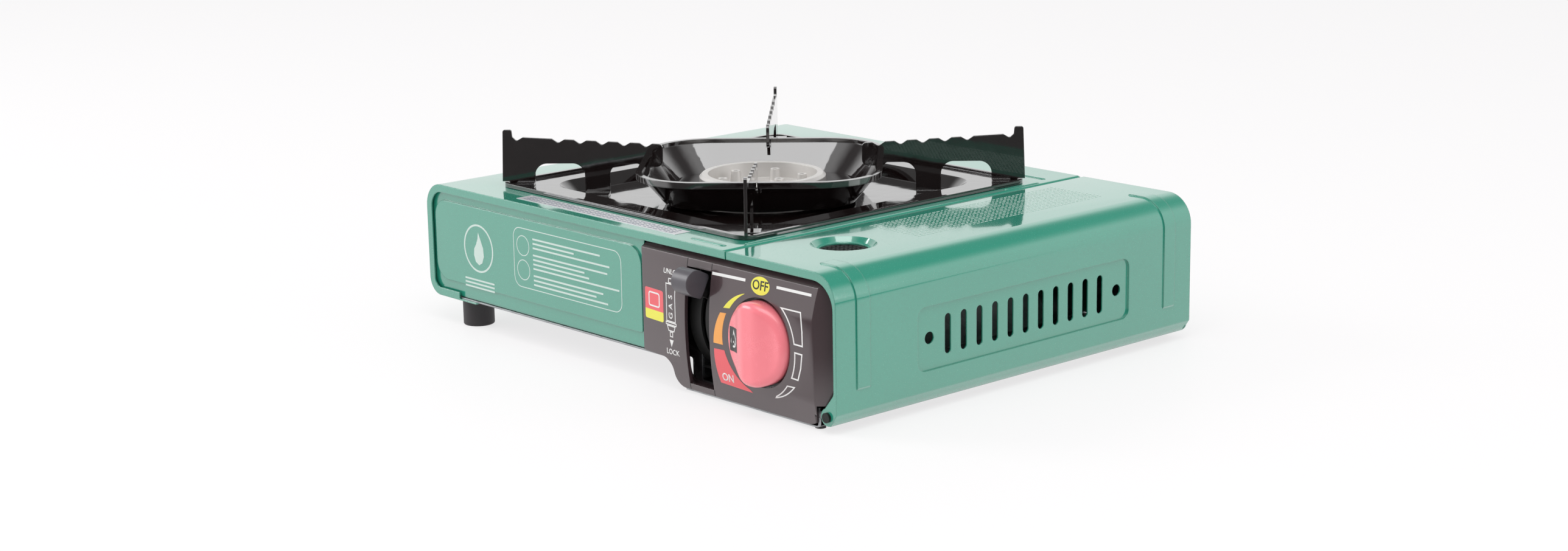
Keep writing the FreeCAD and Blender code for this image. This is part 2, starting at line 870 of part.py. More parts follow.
def panel_section(x, inset, back):
    """Upright section of the control panel: flat back, bulged front, sloped top band."""
    face = front_y + inset
    low = panel_bottom + inset
    high = panel_top - inset
    face_top = panel_top - panel_bevel_height - inset
    middle = (low + face_top) / 2
    points = [
        V(x, back, low),
        V(x, face, low),
        V(x, face - panel_bulge, middle),
        V(x, face, face_top),
        V(x, face + panel_bevel_depth, high),
        V(x, back, high),
    ]
    edges = [
        Part.LineSegment(points[0], points[1]).toShape(),
        Part.Arc(points[1], points[2], points[3]).toShape(),
        Part.LineSegment(points[3], points[4]).toShape(),
        Part.LineSegment(points[4], points[5]).toShape(),
        Part.LineSegment(points[5], points[0]).toShape(),
    ]
    return Part.Wire(edges)


def panel_body(inset, back):
    """Panel form: the bulged section along X, trimmed in plan at its flat left and receding right."""
    left = panel_left + inset
    right = panel_right - inset
    length = right - left + 4.0
    bar = Part.Face(panel_section(left - 2.0, inset, back)).extrude(V(length, 0, 0))
    fullest = front_y + inset - panel_bulge
    plan = [
        (left, back, 0),
        (left, front_y + inset, 0),
        (slot_left - guard_lap, fullest - 0.1, 40.0),
        (panel_right - panel_bevel_width, fullest - 0.1, 6.0),
        (right, front_y + inset + panel_bevel_drop, 0),
        (right, back, 0),
    ]
    return bar.common(plate_xy(plan, 0, body_top))


def panel_outline(inset):
    """Front outline of the panel: high on the left, stepped down to the well on the right."""
    step = panel_left + panel_notch_left
    low_left = left_floor + sheet + touch_gap
    return [
        (panel_left + inset, low_left + inset, 1.5),
        (step - inset * 0.5, low_left + inset, panel_notch_radius - inset),
        (step + 2.0 + inset * 0.5, panel_bottom + inset, panel_notch_radius - inset),
        (panel_right - inset, panel_bottom + inset, panel_corner_radius),
        (panel_right - inset, panel_top - inset, panel_top_radius),
        (panel_left + inset, panel_top - inset, 3.0),
    ]


def control_panel():
    """Moulded control panel with the lever slot, the knob seat and screw bosses."""
    back = front_y + panel_depth
    outer = panel_body(0, back).common(plate_xz(panel_outline(0), front_y - 9, back))
    inner = panel_body(panel_wall, back + 1)
    inner = inner.common(plate_xz(panel_outline(panel_wall), front_y - 9, back + 1))
    panel = outer.cut(inner)
    slot = block(slot_left, slot_left + slot_width, front_y - 9, back, slot_bottom, slot_bottom + slot_height)
    panel = panel.cut(slot)
    seat_back = front_y + knob_seat_depth
    seat_radius = knob_radius + knob_gap
    seat_front = front_y - panel_bulge
    seat = rod(V(knob_x, seat_front, knob_height), V(knob_x, seat_back, knob_height), seat_radius + panel_wall)
    seat = seat.common(panel_body(0, back))
    hollow = rod(V(knob_x, front_y - 9, knob_height), V(knob_x, seat_back - knob_floor, knob_height), seat_radius)
    bore = rod(V(knob_x, front_y - 9, knob_height), V(knob_x, back + 5, knob_height), spindle_radius + 1.0)
    panel = panel.fuse(seat).cut(hollow).cut(bore)
    bosses = []
    holes = []
    for centre in panel_screw_centres():
        boss = rod(V(centre.x, front_y - 9, centre.z), V(centre.x, back, centre.z), 3.4)
        bosses.append(boss.common(panel_body(panel_wall / 2, back)))
        holes.append(rod(V(centre.x, front_y + 4.0, centre.z), V(centre.x, back + 1, centre.z), panel_screw_radius))
    panel = panel.multiFuse(bosses).cut(Part.makeCompound(holes))
    ear_left = well_right - sheet - touch_gap
    reach = hinge_lobe_radius
    pocket_back = front_y + hinge_pin_length + touch_gap
    pocket = block(ear_left, right_x, front_y - 1, pocket_back, hinge_height - reach, hinge_height + reach)
    slit = block(ear_left, well_right + touch_gap, front_y - 1, pocket_back, 0, hinge_height)
    return panel.cut(pocket).cut(slit).removeSplitter()


def panel_screw_centres():
    """Places of the panel's three screws, driven from behind."""
    return [
        V(panel_left + 10.0, 0, panel_top - 14.0),
        V(panel_left + 10.0, 0, left_floor + 14.0),
        V(panel_right - 14.0, 0, panel_top - 13.0),
    ]


def panel_mount():
    """Sheet bracket behind the panel that its screws and the regulator bolt to."""
    y0 = front_y + panel_depth
    low = left_floor + sheet
    corners = [
        (panel_left + 3.0, low, 0),
        (step_x + 2 * sheet, low, 0),
        (step_x + 2 * sheet, well_floor, 0),
        (well_right - 3.0, well_floor, 0),
        (well_right - 3.0, flange_bottom, 8.0),
        (panel_left + 3.0, flange_bottom, 0),
    ]
    plate = plate_xz(corners, y0, y0 + sheet)
    lap = guard_lap + touch_gap
    window = block(slot_left - lap, slot_left + slot_width + lap, y0 - 1, y0 + 2, well_floor + 3, panel_top - 7)
    plate = plate.cut(window)
    plate = plate.cut(rod(V(knob_x, y0 - 1, knob_height), V(knob_x, y0 + 3, knob_height), spindle_radius + 2.5))
    for centre in panel_screw_centres():
        tool = rod(V(centre.x, y0 - 1, centre.z), V(centre.x, y0 + 3, centre.z), panel_screw_radius + running_gap)
        plate = plate.cut(tool)
    lead = lead_points()[0]
    return plate.cut(rod(V(lead.x, y0 - 1, lead.z), V(lead.x, y0 + 3, lead.z), lead_radius + 0.5))


def panel_screws():
    """Screws from behind the bracket into the panel's bosses."""
    solids = []
    for centre in panel_screw_centres():
        head = V(centre.x, front_y + panel_depth + sheet, centre.z)
        solids.append(screw(head, V(0, -1, 0), panel_screw_head_radius, 1.4, panel_screw_radius, 6.0))
    return solids


def lever_guard():
    """Curved black floor of the lever slot, with the narrow slit that the lever passes through."""
    pivot = V(0, pivot_y, lever_pivot_height)
    left = slot_left - guard_lap
    right = slot_left + slot_width + guard_lap
    tube = Part.makeCylinder(guard_radius, right - left, V(left, pivot.y, pivot.z), V(1, 0, 0))
    tube = tube.cut(Part.makeCylinder(guard_radius - guard_wall, right - left, V(left, pivot.y, pivot.z), V(1, 0, 0)))
    half = guard_radius * math.sin(math.radians(guard_half_angle))
    band = block(left, right, pivot_y - guard_radius, pivot_y, pivot.z - half, pivot.z + half)
    guard = tube.common(band)
    slit_half = guard_radius * math.sin(math.radians(lever_half_swing)) + lever_arm_width
    play = lever_plate / 2 + 0.6
    slit = block(lever_x - play, lever_x + play, pivot_y - guard_radius - 1, pivot_y, pivot.z - slit_half,
                 pivot.z + slit_half)
    guard = guard.cut(slit)
    y_edge = pivot_y - math.sqrt(guard_radius ** 2 - half ** 2)
    ears = []
    for sign in (-1, 1):
        z_edge = pivot.z + sign * (half - guard_wall / 2)
        ears.append(block(left, right, front_y + panel_depth + sheet, y_edge + guard_wall,
                          z_edge - guard_wall / 2, z_edge + guard_wall / 2))
    return fused([guard] + ears)


def lever_point(reach, angle):
    """Point at a reach from the lever's pivot, at an angle above straight ahead."""
    lift = math.radians(angle)
    return V(lever_x, pivot_y - reach * math.cos(lift), lever_pivot_height + reach * math.sin(lift))


def lever():
    """Steel lever plate with hub and drive pin, at rest in the raised, unlocked position."""
    pivot = V(lever_x, pivot_y, lever_pivot_height)
    left = lever_x - lever_plate / 2
    hub = Part.makeCylinder(lever_hub_radius, lever_plate, V(left, pivot.y, pivot.z), V(1, 0, 0))
    end = lever_grip_inner + 6.0
    corners = [
        (pivot_y - end, pivot.z - lever_arm_width / 2, 0),
        (pivot_y, pivot.z - lever_arm_width / 2, 0),
        (pivot_y, pivot.z + lever_arm_width / 2, 0),
        (pivot_y - end, pivot.z + lever_arm_width / 2, 0),
    ]
    arm = plate_yz(corners, left, left + lever_plate)
    crank = block(left, left + lever_plate, pivot_y - 4.0, pivot_y + 4.0, pivot.z, pivot.z + lever_crank + 1.0)
    knuckle = Part.makeCylinder(4.0, lever_plate, V(left, pivot.y, pivot.z + lever_crank), V(1, 0, 0))
    pin_length = slide_x + sheet + 1.5 - left
    pin = Part.makeCylinder(lever_pin_radius, pin_length, V(left, pivot.y, pivot.z + lever_crank), V(1, 0, 0))
    solid = fused([hub, arm, crank, knuckle, pin])
    bore = Part.makeCylinder(lever_pin_radius + running_gap, 30, V(left - 5, pivot.y, pivot.z), V(1, 0, 0))
    solid = solid.cut(bore)
    return turned(solid, -lever_half_swing, pivot, V(1, 0, 0))


def lever_grip():
    """Moulded thumb grip pushed over the lever's end, with a half-round nose."""
    pivot = V(lever_x, pivot_y, lever_pivot_height)
    nose = (lever_pivot_setback + lever_overhang - lever_grip_radius) / math.cos(math.radians(lever_half_swing))
    left = lever_x - lever_grip_width / 2
    corners = [
        (pivot_y - nose - lever_grip_radius, pivot.z - lever_grip_radius, lever_grip_radius * 0.999),
        (pivot_y - lever_grip_inner, pivot.z - lever_grip_radius, 2.0),
        (pivot_y - lever_grip_inner, pivot.z + lever_grip_radius, 2.0),
        (pivot_y - nose - lever_grip_radius, pivot.z + lever_grip_radius, lever_grip_radius * 0.999),
    ]
    grip = plate_yz(corners, left, left + lever_grip_width)
    socket = block(lever_x - lever_plate / 2, lever_x + lever_plate / 2, pivot_y - lever_grip_inner - 6.0,
                   pivot_y - lever_grip_inner + 1, pivot.z - lever_arm_width / 2, pivot.z + lever_arm_width / 2)
    return turned(grip.cut(socket), -lever_half_swing, pivot, V(1, 0, 0))


def lever_bracket():
    """Bent sheet that carries the lever's pivot pin on both sides."""
    left = slot_left - guard_lap - touch_gap - sheet
    right = slot_left + slot_width + guard_lap + touch_gap + sheet
    back = pivot_y + 9.0
    start = front_y + panel_depth + sheet
    cheeks = []
    for x in (left, right - sheet):
        low = well_floor + 4.0
        corners = [
            (start, low, 0),
            (pivot_y + 6.0, low, 6.0),
            (back, lever_pivot_height, 6.0),
            (pivot_y + 6.0, lever_pivot_height + 10.0, 6.0),
            (start, lever_pivot_height + 10.0, 0),
        ]
        hole = rod(V(x - 1, pivot_y, lever_pivot_height), V(x + 2, pivot_y, lever_pivot_height),
                   lever_pin_radius + running_gap)
        cheeks.append(plate_yz(corners, x, x + sheet).cut(hole))
    return cheeks


def lever_pivot():
    """Pivot pin of the lever, headed at one end."""
    left = slot_left - guard_lap - touch_gap - sheet
    right = slot_left + slot_width + guard_lap + touch_gap + sheet
    pin = rod(V(left - 1.5, pivot_y, lever_pivot_height), V(right + 1.5, pivot_y, lever_pivot_height), lever_pin_radius)
    head = rod(V(left - 1.5, pivot_y, lever_pivot_height), V(left, pivot_y, lever_pivot_height), lever_pin_radius + 1.2)
    clip = rod(V(right, pivot_y, lever_pivot_height), V(right + 1.0, pivot_y, lever_pivot_height), lever_pin_radius + 1.2)
    return fused([pin, head, clip])


def canister_slide():
    """Push plate: upright driven by the lever, strip under the canister, tab behind its base."""
    low = well_floor + slide_gap
    high = low + slide_plate
    crank_y = pivot_y + lever_crank * math.sin(math.radians(lever_half_swing))
    crank_z = lever_pivot_height + lever_crank * math.cos(math.radians(lever_half_swing))
    crank_top = lever_pivot_height + lever_crank
    half_slot = lever_pin_radius + slide_slot_play
    guard_rise = guard_radius * math.sin(math.radians(guard_half_angle))
    guard_back = pivot_y - math.sqrt((guard_radius - guard_wall) ** 2 - guard_rise ** 2)
    front = guard_back + slide_travel + 2 * touch_gap
    back = pivot_y + slide_travel + lever_pin_radius + 7.0
    upright = block(slide_x, slide_x + sheet, front, back, low, crank_top + 6.0)
    pin_slot = block(slide_x - 1, slide_x + 2, crank_y - half_slot, crank_y + half_slot,
                     crank_z - half_slot, crank_top + half_slot)
    clear = block(slide_x - 1, slide_x + 2, pivot_y - lever_pin_radius - 0.6,
                  pivot_y + slide_travel + lever_pin_radius + 0.6,
                  lever_pivot_height - lever_pin_radius - 0.6, lever_pivot_height + lever_pin_radius + 0.6)
    upright = upright.cut(pin_slot).cut(clear)
    half = slide_width / 2
    cross = block(slide_x, canister_x + half, front, pivot_y + 7.0, low, high)
    tab_y = canister_y + canister_length + touch_gap + slide_travel
    runner = block(canister_x - half, canister_x + half, front, tab_y + sheet, low, high)
    tab = block(canister_x - half, canister_x + half, tab_y, tab_y + sheet, low, low + slide_tab_height)
    return fused([upright, cross, runner, tab])


def cradle_rail(side):
    """Curved rail under one side of the canister, with its foot on the well floor."""
    axis = V(canister_x, canister_y + (canister_length - rail_length) / 2, canister_height)
    outer = Part.makeCylinder(canister_radius + touch_gap + 1.0, rail_length, axis, V(0, 1, 0))
    inner = Part.makeCylinder(canister_radius + touch_gap, rail_length, axis, V(0, 1, 0))
    ring = outer.cut(inner)
    reach = 2 * canister_radius
    near = math.radians(rail_middle_angle - rail_width_angle / 2)
    far = math.radians(rail_middle_angle + rail_width_angle / 2)
    wedge = [
        (canister_x, canister_height, 0),
        (canister_x + side * reach * math.sin(near), canister_height - reach * math.cos(near), 0),
        (canister_x + side * reach * math.sin(far), canister_height - reach * math.cos(far), 0),
    ]
    rail = ring.common(plate_xz(wedge, axis.y, axis.y + rail_length))
    foot_reach = canister_radius + touch_gap + 0.5
    foot_x = canister_x + side * foot_reach * math.sin(near * 1.25)
    foot_top = canister_height - foot_reach * math.cos(near * 1.25)
    foot = block(foot_x - sheet / 2, foot_x + sheet / 2, axis.y, axis.y + rail_length, well_floor, foot_top)
    return fused([rail, foot])


def canister_key():
    """Upright plate across the compartment whose notch guides the canister's collar."""
    y0 = canister_y - 6.0
    left = partition_right + touch_gap
    right = well_right - sheet - touch_gap
    corners = [
        (left, well_floor + 5.0, 0),
        (right, well_floor + 5.0, 0),
        (right, canister_height + 12.0, 6.0),
        (left, canister_height + 12.0, 6.0),
    ]
    plate = plate_xz(corners, y0, y0 + sheet)
    notch = rod(V(canister_x, y0 - 1, canister_height), V(canister_x, y0 + 3, canister_height), key_notch_radius)
    opening = block(canister_x - key_notch_radius, canister_x + key_notch_radius, y0 - 1, y0 + 3,
                    canister_height, canister_height + 30)
    plate = plate.cut(notch).cut(opening)
    legs = []
    for x in (left, right - 8.0):
        legs.append(block(x, x + 8.0, y0, y0 + sheet, well_floor, well_floor + 5.0))
        legs.append(block(x, x + 8.0, y0, y0 + 8.0, well_floor, well_floor + sheet))
    return fused([plate] + legs)


def regulator_body():
    """Cast pressure regulator with its spindle bore, inlet face and outlet boss."""
    y0 = front_y + regulator_from_front
    y1 = y0 + regulator_length
    left = regulator_left()
    low = knob_height - regulator_height / 2
    corners = [
        (left, low, 4.0),
        (left + regulator_width, low, 4.0),
        (left + regulator_width, low + regulator_height, 4.0),
        (left, low + regulator_height, 4.0),
    ]
    body = plate_xz(corners, y0, y1)
    outlet = pipe_points()[0]
    boss = rod(V(outlet.x, outlet.y, outlet.z - 3.0), outlet, outlet_radius)
    front_boss = rod(V(knob_x, front_y + panel_depth + sheet, knob_height), V(knob_x, y0, knob_height), 8.0)
    body = fused([body, boss, front_boss])
    bore = rod(V(knob_x, front_y, knob_height), V(knob_x, y0 + 12.0, knob_height), spindle_radius + running_gap)
    return body.cut(bore)


def regulator_left():
    """Left face of the regulator body."""
    return knob_x - regulator_width * 0.36


def regulator_cap():
    """Round diaphragm cover under the regulator body."""
    left = regulator_left()
    low = knob_height - regulator_height / 2
    centre = V(left + regulator_width / 2, front_y + regulator_from_front + regulator_length / 2, low)
    rim = rod(centre - V(0, 0, regulator_cap_height * 0.5), centre, regulator_cap_radius - 1.5)
    dome = cone(centre - V(0, 0, regulator_cap_height), centre - V(0, 0, regulator_cap_height * 0.5),
                regulator_cap_radius - 5.0, regulator_cap_radius - 3.0)
    return fused([rim, dome])


def inlet_y():
    """Rear face of the regulator, where the canister socket stands."""
    return front_y + regulator_from_front + regulator_length


def canister_socket():
    """Brass socket that takes the canister's nozzle."""
    start = V(canister_x, inlet_y(), canister_height)
    socket = rod(start, start + V(0, socket_length, 0), socket_radius)
    return socket.cut(rod(start + V(0, 2.0, 0), start + V(0, socket_length + 1, 0), socket_bore + 1.6))


def socket_seal():
    """Rubber ring at the bottom of the canister socket."""
    start = V(canister_x, inlet_y() + 2.0, canister_height)
    ring = rod(start, start + V(0, 2.0, 0), socket_bore + 1.6)
    return ring.cut(rod(start - V(0, 1, 0), start + V(0, 3, 0), socket_bore - 1.0))


def knob():
    """Round knob with a broad upright ridge and sloping sides."""
    back = front_y + knob_seat_depth - knob_floor - 0.6
    edge = front_y - panel_bulge - knob_edge
    ridge = front_y - panel_bulge - knob_ridge
    round_bar = rod(V(knob_x, back, knob_height), V(knob_x, ridge - 1, knob_height), knob_radius)
    corners = [
        (knob_x - knob_radius - 1, back, 0),
        (knob_x + knob_radius + 1, back, 0),
        (knob_x + knob_radius + 1, edge, 0),
        (knob_x + knob_ridge_half, ridge, 2.0),
        (knob_x - knob_ridge_half, ridge, 2.0),
        (knob_x - knob_radius - 1, edge, 0),
    ]
    wire = rounded_wire(corners, lambda u, v: V(u, v, knob_height - knob_radius - 1))
    gable = Part.Face(wire).extrude(V(0, 0, 2 * knob_radius + 2))
    cap = round_bar.common(gable)
    bore = rod(V(knob_x, back + 1, knob_height), V(knob_x, edge + 3.0, knob_height), spindle_radius)
    return cap.cut(bore)


def knob_spindle():
    """Spindle from the knob through the panel into the regulator."""
    start = V(knob_x, front_y - panel_bulge - knob_edge + 3.0, knob_height)
    end = V(knob_x, front_y + regulator_from_front + 11.0, knob_height)
    return rod(start, end, spindle_radius)


def cam_front():
    """Front face of the igniter cam."""
    return front_y + knob_seat_depth + touch_gap


def igniter_cam():
    """Spiral cam on the spindle: its radius grows evenly with the turn that strikes the igniter."""
    points = []
    steps = 16
    first = -25.0
    sweep = knob_turn + 50.0
    for index in range(steps + 1):
        angle = first + sweep * index / steps
        radius = cam_radius + cam_lift * angle / knob_turn
        points.append(V(knob_x + radius * math.cos(math.radians(angle)), cam_front(),
                        knob_height - radius * math.sin(math.radians(angle))))
    curve = Part.BSplineCurve()
    curve.interpolate(points)
    hub = V(knob_x, cam_front(), knob_height)
    mid_angle = math.radians(first + sweep + (360 - sweep) / 2)
    low_radius = cam_radius * 0.7
    far = V(knob_x + low_radius * math.cos(mid_angle), cam_front(), knob_height - low_radius * math.sin(mid_angle))
    edges = [curve.toShape(), Part.Arc(points[-1], far, points[0]).toShape()]
    cam = Part.Face(Part.Wire(edges)).extrude(V(0, cam_thickness, 0))
    return cam.cut(rod(hub - V(0, 1, 0), hub + V(0, 9, 0), spindle_radius))


def igniter_middle():
    """Axis point of the igniter plunger where it meets the cam at rest."""
    return V(knob_x + cam_radius + cam_gap, cam_front() + cam_thickness / 2, knob_height)


def igniter_plunger():
    """Plunger that the cam pushes to the right; its round tip faces the cam."""
    start = igniter_middle()
    bar = rod(start + V(plunger_radius * 0.4, 0, 0), start + V(plunger_length, 0, 0), plunger_radius * 0.75)
    ball = Part.makeSphere(plunger_radius * 0.75, start + V(plunger_radius * 0.75, 0, 0))
    return fused([bar, ball])


def igniter_start():
    """Left end of the igniter's housing."""
    return knob_x + knob_radius + knob_gap + panel_wall + touch_gap


def igniter():
    """Housing of the piezo igniter, bored for its plunger."""
    centre = igniter_middle()
    half = igniter_size / 2
    x0 = igniter_start()
    y0 = front_y + panel_depth - igniter_depth
    z0 = centre.z - half
    housing = block(x0, x0 + igniter_length, y0, front_y + panel_depth, z0, centre.z + half)
    bore_end = V(centre.x + plunger_length + cam_lift + 0.4, centre.y, centre.z)
    return housing.cut(rod(V(x0 - 1, centre.y, centre.z), bore_end, plunger_radius * 0.75 + running_gap))


def tube_axis(distance, height=tube_height):
    """Point on the mixing tube's axis at a distance from the burner's centre."""
    angle = math.radians(tube_angle)
    return V(tray_x + distance * math.cos(angle), tray_y + distance * math.sin(angle), height)


def pipe_points():
    """Route of the gas pipe from the regulator's outlet to the jet holder."""
    holder = tube_mouth + shutter_length + jet_holder_length - 4.0
    middle = front_y + regulator_from_front + regulator_length / 2
    top = knob_height + regulator_height / 2 + 3.0
    rise = V(regulator_left() + 5.5, middle, top)
    return [
        rise,
        rise + V(0, 0, 14.0),
        V(seam_x + 5.5, middle + 24.0, top + 12.5),
        V(seam_x - 6.5, middle + 29.0, tube_height + 5.0),
        tube_axis(holder + 12.0),
        tube_axis(holder),
    ]


def gas_pipe():
    """Steel pipe with tangent bends from regulator to jet."""
    bar, length = bent_bar(pipe_points(), pipe_radius)
    print("gas pipe length", round(length, 1), "volume ratio", round(bar.Volume / length / pipe_radius ** 2 / math.pi, 4))
    return bar


def jet_holder():
    """Brass holder screwed on the pipe's end."""
    start = tube_mouth + shutter_length - 4.0
    bar = rod(tube_axis(start), tube_axis(start + jet_holder_length), jet_holder_radius)
    return bar


def gas_jet():
    """Brass jet that blows into the mixing tube."""
    start = tube_mouth + shutter_length - 4.0
    body = rod(tube_axis(start - jet_length * 0.5), tube_axis(start), jet_radius)
    tip = cone(tube_axis(start - jet_length), tube_axis(start - jet_length * 0.5), jet_radius * 0.5, jet_radius)
    return fused([body, tip])


def mixing_tube():
    """Mixing tube from the jet to the burner cup, flared at its mouth."""
    inner_end = burner_cup_radius - burner_cup_wall
    outer = rod(tube_axis(inner_end), tube_axis(tube_mouth - 6.0), tube_radius)
    flare = cone(tube_axis(tube_mouth - 6.0), tube_axis(tube_mouth), tube_radius, tube_radius + tube_flare)
    hollow = rod(tube_axis(inner_end - 1), tube_axis(tube_mouth - 6.0), tube_radius - tube_wall)
    mouth = cone(tube_axis(tube_mouth - 6.0), tube_axis(tube_mouth), tube_radius - tube_wall,
                 tube_radius + tube_flare - tube_wall)
    return outer.fuse(flare).cut(hollow).cut(mouth).removeSplitter()


def air_shutter():
    """Sleeve round the tube's mouth with air windows and an end wall that holds the jet."""
    start = tube_mouth - 5.0
    end = tube_mouth + shutter_length - 2.0
    outer = rod(tube_axis(start), tube_axis(end), tube_radius + tube_flare + 1.0)
    hollow = rod(tube_axis(start - 1), tube_axis(end - 1.0), tube_radius + tube_flare)
    hole = rod(tube_axis(end - 3), tube_axis(end + 3), jet_holder_radius)
    sleeve = outer.cut(hollow).cut(hole)
    middle = tube_axis((tube_mouth + end) / 2 + 1.0)
    window = block(middle.x - 3.5, middle.x + 3.5, middle.y - 30, middle.y + 30, middle.z - 5, middle.z + 5)
    window = turned(window, tube_angle, middle, V(0, 0, 1))
    return sleeve.cut(window)


def jet_bracket():
    """Upright bracket on the floor that holds the jet holder."""
    distance = tube_mouth + shutter_length + 1.0
    base = tube_axis(distance, 0)
    low = left_floor + sheet
    plate = block(base.x, base.x + sheet, base.y - 11, base.y + 11, low, tube_height + 7.0)
    foot = block(base.x - 11, base.x + sheet, base.y - 11, base.y + 11, low, low + sheet)
    bracket = turned(fused([plate, foot]), tube_angle, base, V(0, 0, 1))
    return bracket.cut(rod(tube_axis(distance - 5), tube_axis(distance + 5), jet_holder_radius))


def revolve(profile, centre_x, centre_y):
    """Solid of revolution about an upright axis from (radius, height) corners."""
    points = [V(centre_x + r, centre_y, z) for r, z in profile]
    wire = Part.makePolygon(points + [points[0]])
    return Part.Face(wire).revolve(V(centre_x, centre_y, 0), V(0, 0, 1), 360)


def burner_cup():
    """Cast lower burner: deep cup with the tube's hole and a toothed flange."""
    wall = burner_cup_wall
    flange_low = burner_head_bottom - burner_flange_height
    profile = [
        (0.0, burner_cup_bottom),
        (burner_cup_radius, burner_cup_bottom),
        (burner_cup_radius, flange_low),
        (burner_flange_radius, flange_low),
        (burner_flange_radius, burner_head_bottom),
        (burner_cup_radius - wall, burner_head_bottom),
        (burner_cup_radius - wall, burner_cup_bottom + wall),
        (0.0, burner_cup_bottom + wall),
    ]
    cup = revolve(profile, tray_x, tray_y)
    teeth = []
    for index in range(burner_tooth_count):
        tooth = block(tray_x + burner_flange_radius - burner_tooth_depth, tray_x + burner_flange_radius + 1,
                      tray_y - 0.9, tray_y + 0.9, flange_low - 1, burner_head_bottom + 1)
        teeth.append(turned(tooth, 360 * index / burner_tooth_count, V(tray_x, tray_y, 0), V(0, 0, 1)))
    cup = cup.cut(Part.makeCompound(teeth))
    return cup.cut(rod(tube_axis(burner_cup_radius - wall - 3), tube_axis(burner_cup_radius + 5), tube_radius))


def burner_head():
    """Cast burner head: ring with fine ports, chamfered top, sunk floor and hollow posts."""
    inner = burner_radius - burner_wall
    profile = [
        (0.0, burner_floor - 2.5),
        (burner_cup_radius - burner_cup_wall - 2.0, burner_floor - 2.5),
        (burner_cup_radius - burner_cup_wall - 2.0, burner_head_bottom),
        (burner_radius, burner_head_bottom),
        (burner_radius, burner_top - 1.6),
        (burner_radius - 1.6, burner_top),
        (inner, burner_top),
        (inner - 1.0, burner_floor),
        (0.0, burner_floor),
    ]
    head = revolve(profile, tray_x, tray_y)
    posts = []
    bores = []
    places = []
    for index in range(burner_post_count):
        places.append((burner_post_circle, 360 * index / burner_post_count, burner_post_drop))
    for index in range(inner_post_count):
        angle = 360 * (index + 0.5) / inner_post_count
        places.append((inner_post_circle, angle, burner_post_drop + inner_post_lower))
    for circle, angle, drop in places:
        x = tray_x + circle * math.cos(math.radians(angle))
        y = tray_y + circle * math.sin(math.radians(angle))
        low = V(x, y, burner_floor - 1.0)
        high = V(x, y, burner_top - drop)
        posts.append(cone(low, high, burner_post_radius + burner_post_taper, burner_post_radius))
        bores.append(rod(high - V(0, 0, 4), high + V(0, 0, 1), burner_post_radius * 0.5))
    head = head.multiFuse(posts).cut(Part.makeCompound(bores))
    ports = []
    for index in range(burner_port_count):
        port = block(tray_x + burner_radius - burner_port_depth, tray_x + burner_radius + 1,
                     tray_y - burner_port_width / 2, tray_y + burner_port_width / 2,
                     burner_head_bottom + 2.0, burner_top - 4.0)
        ports.append(turned(port, 360 * index / burner_port_count, V(tray_x, tray_y, 0), V(0, 0, 1)))
    return head.cut(Part.makeCompound(ports))


def burner_bracket():
    """Bridge of bent sheet that carries the burner cup above the floor."""
    low = left_floor + sheet
    top = burner_cup_bottom
    half = bracket_width / 2
    reach = burner_cup_radius - 4.0
    deck = block(tray_x - reach, tray_x + reach, tray_y - half, tray_y + half, top - 1.2, top)
    legs = []
    for side in (-1, 1):
        x = tray_x + side * reach
        inner = min(x, x - side * 1.2)
        legs.append(block(inner, inner + 1.2, tray_y - half, tray_y + half, low, top))
        foot_end = x + side * 10.0
        legs.append(block(min(x - side * 1.2, foot_end), max(x - side * 1.2, foot_end),
                          tray_y - half, tray_y + half, low, low + 1.2))
    bracket = fused([deck] + legs)
    for head in burner_screw_heads():
        tool = rod(V(head.x, head.y, low - 1), V(head.x, head.y, top - 2), 1.5 + running_gap)
        bracket = bracket.cut(tool)
    return bracket


def burner_screw_heads():
    """Head seats of the screws that hold the bridge to the floor."""
    reach = burner_cup_radius + 1.5
    z = left_floor + sheet + 1.2
    return [V(tray_x + side * reach, tray_y + end * bracket_width * 0.3, z) for side in (-1, 1) for end in (-1, 1)]


def burner_screws():
    """Screws of the burner bridge; each ends inside the floor sheet."""
    solids = []
    for head in burner_screw_heads():
        solids.append(screw(head, V(0, 0, -1), 2.8, 1.6, 1.5, 1.2))
    return solids


def electrode_point(height):
    """Point on the electrode's axis."""
    angle = math.radians(electrode_angle)
    return V(tray_x + electrode_circle * math.cos(angle), tray_y + electrode_circle * math.sin(angle), height)


def electrode():
    """Ceramic insulator of the spark electrode."""
    body = rod(electrode_point(electrode_bottom), electrode_point(electrode_top), electrode_radius)
    return body.cut(rod(electrode_point(electrode_bottom - 1), electrode_point(electrode_top + 1), electrode_wire))


def electrode_tip():
    """Spark wire through the insulator, bent towards the burner ring."""
    upright = rod(electrode_point(electrode_bottom), electrode_point(electrode_tip_top), electrode_wire)
    toward = V(tray_x, tray_y, electrode_tip_top) - electrode_point(electrode_tip_top)
    toward.normalize()
    start = electrode_point(electrode_tip_top - electrode_wire)
    hook = rod(start, start + toward * (electrode_circle - burner_radius - 2.5), electrode_wire)
    return fused([upright, hook])


def electrode_holder():
    """Small clamp plate from the burner cup to the insulator."""
    reach = electrode_circle + electrode_radius + 1.6
    z = electrode_bottom + 5.0
    centre = V(tray_x, tray_y, z)
    arm = block(tray_x + burner_cup_radius, tray_x + reach, tray_y - 5, tray_y + 5, z, z + 1.2)
    arm = turned(arm, electrode_angle, centre, V(0, 0, 1))
    wall = rod(V(tray_x, tray_y, z - 1), V(tray_x, tray_y, z + 3), burner_cup_radius)
    return arm.cut(wall).cut(rod(electrode_point(z - 1), electrode_point(z + 3), electrode_radius))


